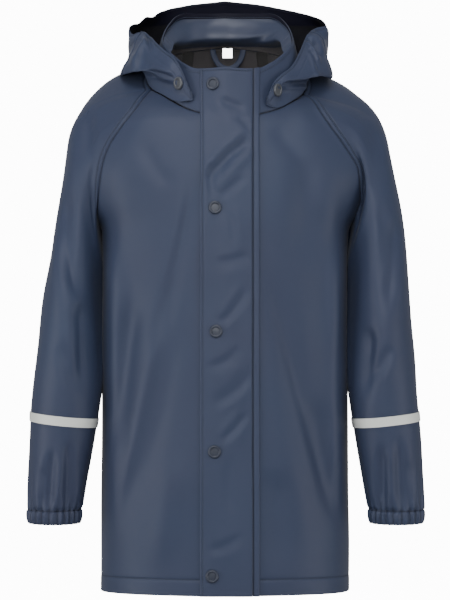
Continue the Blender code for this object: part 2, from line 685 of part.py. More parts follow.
def add_snap(name, centre, normal, seat):
    """Ring snap cap: a profile turned about its own axis, then set on the cloth."""
    top = SNAP_HEIGHT - SNAP_DISH_DEPTH
    profile = (
        (0.0, top + 0.2),
        (SNAP_DISH_RADIUS - 0.5, top),
        (SNAP_DISH_RADIUS, SNAP_HEIGHT - 0.3),
        (SNAP_RADIUS - 1.3, SNAP_HEIGHT),
        (SNAP_RADIUS - 0.5, SNAP_HEIGHT - 0.5),
        (SNAP_RADIUS, 0.7),
        (SNAP_RADIUS - 0.6, 0.0),
        (0.0, 0.0),
    )
    mesh = bpy.data.meshes.new(name)
    points = [(radius * TO_METRES, 0.0, height * TO_METRES) for radius, height in profile]
    edges = [(i, i + 1) for i in range(len(points) - 1)]
    mesh.from_pydata(points, edges, [])
    cap = place(name, mesh, NAVY_DARK, 0.35)
    turned = cap.modifiers.new("turned", "SCREW")
    turned.axis = "Z"
    turned.angle = 2 * math.pi
    turned.steps = SNAP_STEPS
    turned.render_steps = SNAP_STEPS
    turned.use_merge_vertices = True
    turned.merge_threshold = 0.0001
    turned.use_smooth_shade = True
    axis = Vector(normal).normalized()
    base = (Vector(centre) + axis * seat) * TO_METRES
    turn = Vector((0.0, 0.0, 1.0)).rotation_difference(axis)
    cap.matrix_world = Matrix.Translation(base) @ turn.to_matrix().to_4x4()


FlapSnap = namedtuple("FlapSnap", "name x z")
FLAP_SNAPS = (
    FlapSnap("snap_1", -13.9, -19.0),
    FlapSnap("snap_2", -11.5, -163.7),
    FlapSnap("snap_3", -10.4, -305.9),
    FlapSnap("snap_4", -12.1, -443.7),
    FlapSnap("snap_5", -14.7, -585.9),
)


def add_flap_snaps(found):
    """The five snaps down the flap."""
    for snap in FLAP_SNAPS:
        lines = flap_grid(found, (snap.x - SNAP_RADIUS, snap.x, snap.x + SNAP_RADIUS))
        heights = snap.z + np.array([-SNAP_RADIUS, 0.0, SNAP_RADIUS])
        y = [np.interp(heights, line[:, 2], line[:, 1]) for line in lines.swapaxes(0, 1)]
        across = (y[2][1] - y[0][1]) / (2 * SNAP_RADIUS)
        along = (y[1][2] - y[1][0]) / (2 * SNAP_RADIUS)
        normal = np.array([across, -1.0, along])
        centre = np.array([snap.x, y[1][1], snap.z])
        add_snap(snap.name, centre, normal, LAY_GAP + CLOTH_WALL + SNAP_SEAT)


def hood_rows(side):
    """The profile table of one side of the hood, front end to centre back."""
    return (HOOD_RIGHT_ROWS if side < 0 else HOOD_LEFT_ROWS) + HOOD_BACK_ROWS


def hood_point(side, angle, share):
    """Hood surface: angle around the neck, share from its neck edge to its rim."""
    rows = hood_rows(side)
    angle = np.asarray(angle, float)
    turn = np.radians(angle)
    forward = column(rows, "angle", "forward", angle)
    base = neck_point(side, angle)
    knots = []
    for name, part in zip(
        ("neck", "under", "fold", "belly", "crest", "rim"), HOOD_FORWARD_SHARES
    ):
        if name == "neck":
            out = column(rows, "angle", "neck_out", angle)
            x = base[..., 0] + side * np.sin(turn) * out
            y = base[..., 1] - np.cos(turn) * out
            z = base[..., 2] + column(rows, "angle", "neck_up", angle)
        else:
            radius = column(rows, "angle", name + "_r", angle)
            x = side * np.sin(turn) * radius
            y = -np.cos(turn) * radius - forward * part
            z = column(rows, "angle", name + "_z", angle)
        knots.append(stack(x, y, z))
    knots = np.array(knots)
    places = np.array(HOOD_KNOTS)
    slopes = np.empty_like(knots)
    slopes[1:-1] = (knots[2:] - knots[:-2]) / (places[2:] - places[:-2]).reshape(
        (-1,) + (1,) * (knots.ndim - 1)
    )
    slopes[0] = (knots[1] - knots[0]) / (places[1] - places[0])
    slopes[-1] = (knots[-1] - knots[-2]) / (places[-1] - places[-2])
    i = np.clip(np.searchsorted(places, share, side="right") - 1, 0, len(places) - 2)
    span = (places[i + 1] - places[i])[..., None]
    t = ((share - places[i]))[..., None] / span
    index = np.indices(i.shape)
    start = knots[(i, *index)]
    end = knots[(i + 1, *index)]
    start_slope = slopes[(i, *index)] * span
    end_slope = slopes[(i + 1, *index)] * span
    point = (1 + 2 * t) * (1 - t) ** 2 * start + t * (1 - t) ** 2 * start_slope
    return point + t * t * (3 - 2 * t) * end + t * t * (t - 1) * end_slope


def hood_half(side, start):
    """Grid and normals of half the hood, and the column of the seam between panels."""
    shares = np.linspace(0.0, 1.0, HOOD_ROWS + 1)
    front = np.linspace(start, HOOD_SEAM_ANGLE, HOOD_SIDE_COLUMNS + 1)
    back = np.linspace(HOOD_SEAM_ANGLE, 180.0, HOOD_BACK_COLUMNS + 1)
    angles = np.concatenate([front, back[1:]])
    share_grid, angle_grid = np.meshgrid(shares, angles, indexing="ij")
    grid = hood_point(side, angle_grid, share_grid)
    normals = grid_normals(grid, -side)
    normals[:, -1] = unit(normals[:, -1] * (0, 1, 1))
    return grid, normals


def add_hood():
    """Hood lying open behind the neck: two side panels and a centre panel."""
    seam = HOOD_SIDE_COLUMNS
    halves = {side: hood_half(side, start) for side, start in HOOD_STARTS.items()}
    for side, name in ((-1, "hood_right"), (1, "hood_left")):
        grid, normals = (part[:, : seam + 1] for part in halves[side])
        inner = pull_edge(grid - normals * CLOTH_WALL, 1, True, HOOD_GAP)
        outer = pull_edge(grid, 1, True, HOOD_GAP)
        shell(name, outer, inner, NAVY, 0.5)
    outer, normals = (
        np.concatenate([halves[-1][k][:, seam:], halves[1][k][:, -2 : seam - 1 : -1]], axis=1)
        for k in (0, 1)
    )
    inner = outer - normals * CLOTH_WALL
    for last in (False, True):
        outer = pull_edge(outer, 1, last, HOOD_GAP)
        inner = pull_edge(inner, 1, last, HOOD_GAP)
    shell("hood_centre", outer, inner, NAVY, 0.5)


HoodSnap = namedtuple("HoodSnap", "name side angle share lift")
HOOD_SNAPS = (
    HoodSnap("hood_snap_right", -1, 43.0, 0.27, 1.0),
    HoodSnap("hood_snap_left", 1, 46.0, 0.33, 0.7),
)


def add_hood_snaps():
    """The snap that holds each front end of the hood to the collar."""
    for snap in HOOD_SNAPS:
        angle = np.array([snap.angle - 3, snap.angle, snap.angle + 3])
        across = hood_point(snap.side, angle, np.full(3, snap.share))
        share = np.array([snap.share - 0.06, snap.share + 0.06])
        along = hood_point(snap.side, np.full(2, snap.angle), share)
        normal = np.cross(along[1] - along[0], across[2] - across[0]) * -snap.side
        add_snap(snap.name, across[1], normal, snap.lift)


def neck_inside(x):
    """Depth of the back neck seam's inner face at distance x from the centre line."""
    turn = np.arcsin(np.clip(np.abs(x) / NECK_HALF_WIDTH[-1], 0.0, 1.0))
    return NECK_CENTRE_Y + NECK_HALF_DEPTH * np.cos(turn) - CLOTH_WALL - SEAM_GAP


def add_hang_loop():
    """Flat loop of self cloth hanging inside the back neck."""
    turn = math.pi * np.linspace(0.0, 1.0, 15)
    rows = []
    for shift in (-LOOP_BAND / 2, LOOP_BAND / 2):
        x = LOOP_CENTRE_X - (LOOP_REACH + shift) * np.cos(turn)
        z = LOOP_TOP_Z - (LOOP_DROP + shift) * np.sin(turn) ** 0.8
        rows.append(stack(x, neck_inside(x), z))
    grid = np.array(rows)
    shell("hang_loop", grid, grid - (0, LOOP_WALL, 0), NAVY, 0.5)


def add_label():
    """Small blank woven label under the back neck seam."""
    half = LABEL_SIZE / 2
    x_values = LOOP_CENTRE_X - 0.7 + np.array([-half, 0.0, half])
    z_values = LABEL_TOP_Z - LABEL_SIZE * np.array([1.0, 0.5, 0.0])
    z, x = np.meshgrid(z_values, x_values, indexing="ij")
    grid = stack(x, neck_inside(x), z)
    shell("label", grid, grid - (0, LABEL_WALL, 0), LABEL_WHITE, 0.8)


def main():
    for thing in list(bpy.data.objects):
        bpy.data.objects.remove(thing)
    jacket = bpy.data.collections.new("rain_jacket")
    bpy.context.scene.collection.children.link(jacket)
    found = torso()
    add_panels(found)
    add_sleeves(found)
    add_collar()
    add_flap(found)
    add_flap_snaps(found)
    add_hood()
    add_hood_snaps()
    add_hang_loop()
    add_label()


main()
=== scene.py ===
"""A child's hooded raglan rain jacket, filled out as if worn, and the studio round it.

Lengths are millimetres until a mesh is made, where MM turns them into metres.
Axes: +X to the viewer's right, -Y the garment's front, +Z up. The origin is the centre
of the neck base. "right" and "left" are the wearer's own, so the right side is at -X.
Creases are placed as they look from the front, on the plane y = 0 seen by the camera.
"""

import logging
import math
from dataclasses import dataclass, field
from enum import Enum
from typing import NamedTuple, Optional, Sequence, Union

import bpy
import numpy as np
from mathutils import Matrix, Vector


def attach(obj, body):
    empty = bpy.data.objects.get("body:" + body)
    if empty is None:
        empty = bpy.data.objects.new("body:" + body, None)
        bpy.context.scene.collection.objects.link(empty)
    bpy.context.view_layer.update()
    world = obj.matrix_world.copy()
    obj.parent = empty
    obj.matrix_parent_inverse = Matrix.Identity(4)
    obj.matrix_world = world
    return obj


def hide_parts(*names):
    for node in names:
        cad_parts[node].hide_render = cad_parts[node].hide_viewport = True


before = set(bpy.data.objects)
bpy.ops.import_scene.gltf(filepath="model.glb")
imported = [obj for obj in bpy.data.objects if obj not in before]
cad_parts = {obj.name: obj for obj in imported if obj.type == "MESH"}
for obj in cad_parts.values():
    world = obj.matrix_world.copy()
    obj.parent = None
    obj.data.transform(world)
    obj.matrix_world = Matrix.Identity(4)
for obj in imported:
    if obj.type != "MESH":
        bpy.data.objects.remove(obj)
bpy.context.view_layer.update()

log = logging.getLogger("rain_jacket")
MM = 0.001
BODY = "root"
EYE_DISTANCE = 2300.0
EYE_HEIGHT = -270.0
Array = np.ndarray


class Side(Enum):
    """The wearer's side of the jacket, as the sign of its X."""

    RIGHT = -1
    LEFT = 1

    @property
    def word(self) -> str:
        """The side's word in piece names."""
        return self.name.lower()


class Edge(Enum):
    """An edge of a sheet's grid of points."""

    FIRST_ROW = (0, False)
    LAST_ROW = (0, True)
    FIRST_COLUMN = (1, False)
    LAST_COLUMN = (1, True)


class View(Enum):
    """How points are laid flat before creases are measured on them."""

    FRONT = "seen by the camera"
    BACK = "seen square from behind"


def hermite(t: Array, start: Array, end: Array, leave: Array, arrive: Array) -> Array:
    """Cubic from a start to an end with given slopes there, at t from 0 to 1."""
    first = (1 + 2 * t) * (1 - t) ** 2 * start + t * (1 - t) ** 2 * leave
    return first + t * t * (3 - 2 * t) * end + t * t * (t - 1) * arrive


def smooth_curve(knots: Sequence[float], values: Sequence[float], at: Array) -> Array:
    """Shape-keeping cubic through a table's points, held level past its ends.

    Args:
        knots: Rising key values of the table.
        values: Values at those keys.
        at: Keys to evaluate.

    Returns:
        The curve's values.
    """
    knots = np.asarray(knots, float)
    values = np.asarray(values, float)
    step = np.diff(knots)
    slope = np.diff(values) / step
    tangent = np.zeros_like(values)
    tangent[0], tangent[-1] = slope[0], slope[-1]
    turning = slope[:-1] * slope[1:] > 0
    both = np.where(turning, slope[:-1] + slope[1:], 1.0)
    tangent[1:-1] = np.where(turning, 2 * slope[:-1] * slope[1:] / both, 0.0)
    i = np.clip(np.searchsorted(knots, at, side="right") - 1, 0, len(step) - 1)
    t = np.clip((at - knots[i]) / step[i], 0.0, 1.0)
    return hermite(t, values[i], values[i + 1], step[i] * tangent[i], step[i] * tangent[i + 1])


def column(rows: Sequence[NamedTuple], key: str, name: str, at: Array) -> Array:
    """The named column of a table at the given values of its key column."""
    knots = [getattr(row, key) for row in rows]
    values = [getattr(row, name) for row in rows]
    return smooth_curve(knots, values, np.asarray(at, float))


def ease(x: Array) -> Array:
    """Smooth step from 0 to 1."""
    x = np.clip(x, 0.0, 1.0)
    return x * x * (3 - 2 * x)


def bell(distance: Array, width: float) -> Array:
    """Bell curve of a distance, 1 at 0."""
    return np.exp(-((distance / width) ** 2))


def span(z: Array, low: float, high: float, low_fade: float, high_fade: float) -> Array:
    """1 between two heights, fading to 0 towards each of them."""
    return ease((high - z) / high_fade) * ease((z - low) / low_fade)


def run_of(line: Array) -> Array:
    """Length along a line up to each of its points."""
    gaps = np.linalg.norm(np.diff(line, axis=0), axis=1)
    return np.concatenate([[0.0], np.cumsum(gaps)])


def unit(vectors: Array) -> Array:
    """Vectors scaled to length 1."""
    return vectors / np.maximum(np.linalg.norm(vectors, axis=-1, keepdims=True), 1e-9)


def stack(x: Array, y: Array, z: Array) -> Array:
    """Points from three arrays of coordinates."""
    return np.stack(np.broadcast_arrays(x, y, z), axis=-1).astype(float)


def marks(length: float, pitch: float, start: Sequence[float], end: Sequence[float]) -> Array:
    """Parameters from 0 to 1 along a length, closer together near its ends.

    Args:
        length: The length they run along.
        pitch: Distance between the plain ones.
        start: Distances from the start, the first being 0.
        end: Distances from the end, the first being 0.

    Returns:
        Rising parameters, 0 and 1 included.
    """
    first, last = start[-1], length - end[-1]
    count = max(1, round((last - first) / pitch))
    middle = np.linspace(first, last, count + 1)
    tail = length - np.array(end[:-1])[::-1]
    return np.concatenate([start[:-1], middle, tail]) / length


def table(kind: type, *rows: tuple) -> tuple:
    """The rows of a table, each as its kind."""
    return tuple(kind(*row) for row in rows)


CLOTH_THICKNESS = 1.3
FLAP_THICKNESS = 2.6
COLLAR_THICKNESS = 2.6
SECTION_POWER = 2.4
HEM_Z = -609.5
HEM_SIDE_DROP = 6.0
HEM_WIDTH = 19.0
ARMPIT_Z = -190.0
ARMPIT_FADE = 80.0
NECK_BACK_CORNER = 117.0
NECK_FRONT_CORNER = 73.0
NECK_CENTRE_Y = -2.5
NECK_HALF_DEPTH = 77.0
NECK_HALF_WIDTH = {Side.RIGHT: 91.0, Side.LEFT: 97.0}
COLLAR_TOP_HALF_WIDTH = {Side.RIGHT: 75.0, Side.LEFT: 82.0}
COLLAR_TOP_HALF_DEPTH = 72.0
SHOULDER_SLOPE = {Side.RIGHT: 0.06, Side.LEFT: 0.26}
EDGE_MARKS = (0.0, 0.35, 0.8, 1.3, 2.0, 2.8, 3.6, 4.6, 5.6, 6.6, 7.6, 9.0)
FREE_MARKS = (0.0, 0.15, 0.45, 0.9, 1.5, 2.2, 3.0, 3.8, 5.0)
PLAIN_MARKS = (0.0, 2.0)
HEM_MARKS = (*FREE_MARKS, 8.0, 11.0, 14.0, 16.5, 17.8, 18.5, 19.0, 19.5, 20.2, 21.5, 24.0)


class BodySection(NamedTuple):
    """Half width and half depths of the body at one height."""

    z: float
    half_width: float
    front: float
    back: float


BODY_SECTIONS = table(
    BodySection,
    (-609, 148.4, 107, 104), (-520, 148.0, 106, 103), (-430, 147.4, 105, 102),
    (-370, 146.8, 104, 101), (-300, 146.5, 103, 100.5), (-230, 146.3, 102, 100.5),
    (-190, 147.2, 101, 100.5), (-170, 158.0, 100, 100), (-150, 168.0, 99, 99.5),
    (-119, 180.0, 97, 99), (-97, 182.0, 94, 98.5), (-65, 183.0, 87, 97), (-47, 176.0, 76, 96),
    (-30, 165.0, 55, 94), (-19, 150.0, 36, 92), (0, 106.0, 26, 88), (18, 90.0, 20, 84),
    (43, 86.0, 18, 78),
)


class RaglanRow(NamedTuple):
    """How far from the centre line the raglan seams are at one height."""

    z: float
    right_x: float
    left_x: float
    back_x: float


RAGLAN_ROWS = table(
    RaglanRow,
    (-190, 147.2, 147.2, 147.2), (-170, 150.3, 154.6, 151), (-150, 148.7, 160.5, 153),
    (-119, 144.9, 159.1, 150), (-97, 138.9, 148.2, 142), (-65, 119.6, 128.2, 127),
    (-47, 106.1, 118.7, 116), (-32, 96.8, 111.7, 107), (-19, 88.0, 95.0, 99), (0, 80.0, 84.0, 89),
    (18, 76.0, 80.0, 82),
)


class NeckRow(NamedTuple):
    """Heights of the neck seam and the collar's top edge at one angle round the neck."""

    angle: float
    right_z: float
    left_z: float
    top_z: float


NECK_ROWS = table(
    NeckRow,
    (0, -57, -57, 0.0), (17, -53, -56, -1.0), (28, -47.5, -52, 0.5), (41, -38, -46, 8.0),
    (54, -29, -37, 18.0), (73, -19.5, -25, 32.5), (90, -7, -9, 43.0), (117, 16, 14, 68.0),
    (127, 24, 23, 76.5), (140, 33, 32, 82.0), (180, 43, 43, 84.5),
)


class SleeveStation(NamedTuple):
    """Oval cross section of both sleeves at one place down the arm.

    forward is how far its inner side is drawn to the front, along the body.
    """

    outer_z: float
    inner_z: float
    right_x: float
    left_x: float
    inner_x: float
    centre_y: float
    front: float
    back: float
    forward: float


SLEEVE_STATIONS = table(
    SleeveStation,
    (-85, -232, 188.0, 196.0, 144.5, -4, 58, 58, 12),
    (-153, -266, 197.5, 207.5, 144.2, -14, 55, 56, 6),
    (-208, -296, 205.5, 214.5, 143.7, -24, 53, 53, 2),
    (-268, -328, 215.5, 218.5, 143.1, -34, 50, 50, 0),
    (-328, -364, 222.0, 223.0, 143.7, -38, 46, 47, 0),
    (-401, -409, 229.5, 229.0, 149.5, -40, 41, 42, 0),
    (-412, -420, 230.0, 229.8, 151.5, -40, 40, 41, 0),
    (-458, -460, 232.0, 232.6, 158.5, -41, 36, 37, 0),
    (-493, -493, 232.6, 233.8, 165.0, -42, 32, 33, 0),
    (-516, -516, 232.0, 233.5, 169.8, -42, 28.5, 28.5, 0),
)
SLEEVE_STEPS = (20, 17, 20, 20, 20, 6, 16, 14, 12)
TAPE_STATION = 5
SLEEVE_SEEDS = {Side.RIGHT: 11, Side.LEFT: 12}


class HoodRow(NamedTuple):
    """Profile of the hood from its neck edge to its rim at one angle round the neck."""

    angle: float
    neck_out: float
    neck_up: float
    under_r: float
    under_z: float
    fold_r: float
    fold_z: float
    belly_r: float
    belly_z: float
    crest_r: float
    crest_z: float
    rim_r: float
    rim_z: float
    forward: float


HOOD_BACK_ROWS = table(
    HoodRow,
    (145, 2.4, 5, 111.0, -5, 150.0, -78, 160.0, -20, 152.0, 55, 139.0, 95, 0),
    (163, 2.4, 4, 110.0, -18, 140.0, -118, 155.0, -35, 142.0, 55, 127, 104, 0),
    (180, 2.4, 4, 109.0, -24, 134.0, -130, 151.0, -45, 136.0, 55, 119, 107.5, 0),
)
HOOD_ROWS = {
    Side.RIGHT: table(
        HoodRow,
        (27, 1.9, 10, 82.5, -38, 82.8, -36, 83.0, -34.5, 83.2, -33, 83.4, -31, 0),
        (36, 1.9, 3, 83.5, -31, 84.2, -24, 84.6, -17, 84.0, -11, 82.8, -5, 0),
        (45, 1.9, 1, 86.5, -22, 92.0, -9, 91.0, 1, 87.0, 8, 83.5, 13, 0),
        (60, 1.9, 1, 90.0, -11, 98.0, -2, 95.0, 11, 89.0, 21, 83.5, 26, 0),
        (75, 2.4, 3, 95.0, 0, 103.0, 1, 99.0, 19, 92.0, 32, 85.5, 37, 8),
        (90, 2.4, 6, 103.0, 6, 113.0, 0, 109.0, 24, 101.0, 43, 91.0, 48, 25),
        (100, 2.4, 7, 109.0, 10, 126.0, 1, 116.0, 27, 109.0, 45, 101.0, 55, 22),
        (112, 2.4, 8, 114.0, 10, 137.0, 2, 128.0, 27, 125.0, 52, 121.0, 67, 8),
        (128, 2.4, 6, 114.0, 5, 147.0, -22, 149.0, 20, 143.0, 58, 131.0, 80, 0),
        *HOOD_BACK_ROWS,
    ),
    Side.LEFT: table(
        HoodRow,
        (34, 1.9, 4, 86.0, -43, 86.3, -41, 86.5, -39, 86.5, -37, 86.5, -35, 0),
        (41, 1.9, 1, 87.6, -36, 89.2, -28, 89.2, -23, 88.2, -19, 87.2, -16, 0),
        (48, 1.9, 1, 90.0, -28, 95.0, -18, 94.0, -12, 91.0, -8, 88.0, -6, 0),
        (60, 1.9, 2, 94.0, -18, 100.0, -12, 98.0, -4, 94.0, 2, 89.0, 5, 2),
        (75, 2.4, 4, 99.0, -7, 106.0, -7, 104.0, 8, 98.0, 21, 91.0, 26, 12),
        (90, 2.4, 7, 106.0, 4, 117.0, -4, 114.0, 18, 108.0, 37, 96.5, 45, 26),
        (100, 2.4, 8, 112.0, 7, 130.0, -3, 123.0, 25, 119.0, 43, 108.0, 57, 22),
        (112, 2.4, 8, 116.0, 10, 136.0, 2, 135.0, 27, 136.5, 54, 131.0, 71, 8),
        (128, 2.4, 6, 114.0, 5, 150.0, -22, 156.0, 20, 156.0, 60, 146.0, 83, 0),
        *HOOD_BACK_ROWS,
    ),
}
HOOD_START = {Side.RIGHT: 27.0, Side.LEFT: 34.0}


class RimBend(NamedTuple):
    """How far the hood's rim is bent outwards and up at one angle."""

    angle: float
    out: float
    up: float


RIM_BENDS = {
    Side.RIGHT: table(
        RimBend,
        (88, 0, 0), (95, 1.6, 2.2), (98, 2.0, 1.3), (102, 3.0, -2.8), (106, 4.1, -8.5),
        (108, 4.2, -8.2), (112, 4.5, -4.7), (115, 4.0, -3.2), (118, 1.1, -2.3), (122, -1.0, -3.5),
        (126, -2.2, -1.2), (130, -2.9, 0.6), (136, -4.1, -3.0), (142, -2.3, -1.1), (150, 0, 0),
    ),
    Side.LEFT: table(
        RimBend,
        (94, 0, 0), (100, -1.7, -1.0), (104, -1.4, -1.6), (108, 1.6, -3.7), (110, 2.6, -3.8),
        (115, -0.5, -1.1), (122, -3.5, 0.7), (134, 0, 0),
    ),
}
HOOD_SEAM_ANGLE = 100.0
HOOD_KNOTS = (0.0, 0.18, 0.38, 0.64, 0.86, 1.0)
HOOD_FORWARD_SHARES = (0.0, 0.5, 1.0, 0.8, 0.35, 0.0)


class Crease(NamedTuple):
    """A soft trough or ridge along a bent line.

    x and z give its start, middle and end; width is how far it spreads, height how far
    it stands out, lean (-1 to 1) makes the side to the left of its run the wider one,
    and roll is the share of its height that swells beside it the other way.
    """

    x0: float
    z0: float
    x1: float
    z1: float
    x2: float
    z2: float
    width: float
    height: float
    lean: float = 0.0
    roll: float = 0.0


class RollPoint(NamedTuple):
    """A point of the lower edge of the collar's rolled facing."""

    x: float
    z: float


LINE_STEPS = 20
ROLL_AT = 1.9
RIPPLE_WAVES = 9


def laid_flat(points: Array, view: View) -> Array:
    """Points as seen in one view, as x and z.

    Args:
        points: Points in space.
        view: The view they are seen in.

    Returns:
        Their places on the view's plane.
    """
    if view is View.BACK:
        return points[..., [0, 2]]
    scale = EYE_DISTANCE / (EYE_DISTANCE + points[..., 1])
    return np.stack(
        [points[..., 0] * scale, EYE_HEIGHT + (points[..., 2] - EYE_HEIGHT) * scale], axis=-1
    )


def crease_offset(points: Array, creases: Sequence[Crease], view: View, facing: Array) -> Array:
    """How far creases move each point along its normal.

    Args:
        points: Points of a sheet.
        creases: The creases on it.
        view: The view that they are placed in.
        facing: How squarely each point faces that view.

    Returns:
        The distance outwards, one for each point.
    """
    flat = laid_flat(points, view).reshape(-1, 2)
    total = np.zeros(len(flat))
    t = np.linspace(0.0, 1.0, LINE_STEPS + 1)[:, None]
    for crease in creases:
        start, middle, end = np.array(crease[:6]).reshape(3, 2)
        control = 2 * middle - (start + end) / 2
        line = (1 - t) ** 2 * start + 2 * t * (1 - t) * control + t**2 * end
        reach = 4 * crease.width
        near = ((flat > line.min(axis=0) - reach) & (flat < line.max(axis=0) + reach)).all(axis=1)
        spot = flat[near]
        if not len(spot):
            continue
        step = np.diff(line, axis=0)
        away = spot[:, None] - line[:-1]
        along = np.clip((away * step).sum(-1) / (step * step).sum(-1), 0.0, 1.0)
        gap = away - along[..., None] * step
        distance = np.linalg.norm(gap, axis=-1)
        best = distance.argmin(axis=1)
        pick = np.arange(len(spot))
        cross = step[best, 0] * away[pick, best, 1] - step[best, 1] * away[pick, best, 0]
        place = (best + along[pick, best]) / LINE_STEPS
        width = crease.width * (1 + crease.lean * np.sign(cross))
        far = distance[pick, best] / width
        shape = bell(far, 1.0) - crease.roll * bell(far - ROLL_AT, 1.0)
        fade = ease(np.minimum(place, 1 - place) * 3.2 + 0.08)
        total[near] += crease.height * fade * shape
    return total.reshape(points.shape[:-1]) * np.clip(facing, 0.0, 1.0)


def ripple(points: Array, seed: int, wave: float, height: float) -> Array:
    """Faint unevenness of hanging cloth, made of slanting waves.

    Args:
        points: Points of a sheet.
        seed: Makes each piece's waves its own, the same in each run.
        wave: The usual wavelength.
        height: The usual height.

    Returns:
        The distance outwards, one for each point.
    """
    source = np.random.default_rng(seed)
    total = np.zeros(points.shape[:-1])
    for _ in range(RIPPLE_WAVES):
        heading = source.normal(size=3) * (1.0, 1.0, 0.45)
        length = wave * source.uniform(0.6, 1.7)
        phase = source.uniform(0.0, 2 * math.pi)
        along = points @ (heading / np.linalg.norm(heading))
        total += np.sin(along * 2 * math.pi / length + phase)
    return total * height / 3.0


@dataclass
class Sheet:
    """A grid of points on cloth, with the way that its face looks at each."""

    points: Array
    turn: int
    closed: bool = False
    normals: Array = field(init=False)

    def __post_init__(self) -> None:
        """Works out the normals."""
        along = np.gradient(self.points, axis=0)
        if self.closed:
            across = np.roll(self.points, -1, axis=1) - np.roll(self.points, 1, axis=1)
        else:
            across = np.gradient(self.points, axis=1)
        self.normals = unit(np.cross(along, across) * self.turn)

    @classmethod
    def facing_front(cls, points: Array) -> "Sheet":
        """A sheet whose face looks to the front."""
        made = cls(points, 1)
        return cls(points, -1) if made.normals[..., 1].mean() > 0 else made

    def raised(self, offset: Array) -> "Sheet":
        """A copy moved along its normals.

        Args:
            offset: Distance outwards, one for all or one for each point.

        Returns:
            The new sheet, with its own normals.
        """
        offset = np.broadcast_to(offset, self.points.shape[:2])
        return Sheet(self.points + self.normals * offset[..., None], self.turn, self.closed)

    def from_edge(self, edge: Edge) -> Array:
        """Each point's distance over the cloth from an edge."""
        axis, last = edge.value
        gaps = np.linalg.norm(np.diff(self.points, axis=axis), axis=-1)
        pad = [(0, 0), (0, 0)]
        pad[axis] = (1, 0)
        run = np.pad(np.cumsum(gaps, axis=axis), pad)
        return run.max(axis=axis, keepdims=True) - run if last else run

    def line_at(self, edge: Edge, distance: float) -> tuple[Array, Array]:
        """The line over the cloth at a distance from an edge.

        Args:
            edge: The edge that it follows.
            distance: How far from it.

        Returns:
            Its points and its normals.
        """
        axis, last = edge.value
        run = self.from_edge(edge)
        points, normals = self.points, self.normals
        if axis == 0:
            run, points, normals = run.T, points.swapaxes(0, 1), normals.swapaxes(0, 1)
        if last:
            run, points, normals = run[:, ::-1], points[:, ::-1], normals[:, ::-1]
        i = np.array([np.searchsorted(row, distance) for row in run])
        i = np.clip(i, 1, run.shape[1] - 1)
        k = np.arange(len(run))
        share = (distance - run[k, i - 1]) / np.maximum(run[k, i] - run[k, i - 1], 1e-6)
        share = np.clip(share, 0.0, 1.0)[:, None]
        line = points[k, i - 1] * (1 - share) + points[k, i] * share
        facing = normals[k, i - 1] * (1 - share) + normals[k, i] * share
        return line, unit(facing)

    def part(self, rows: slice, columns: slice) -> "Sheet":
        """The sheet between some of its rows and columns, normals kept."""
        piece = Sheet(self.points[rows, columns], self.turn, self.closed)
        piece.normals = self.normals[rows, columns]
        return piece


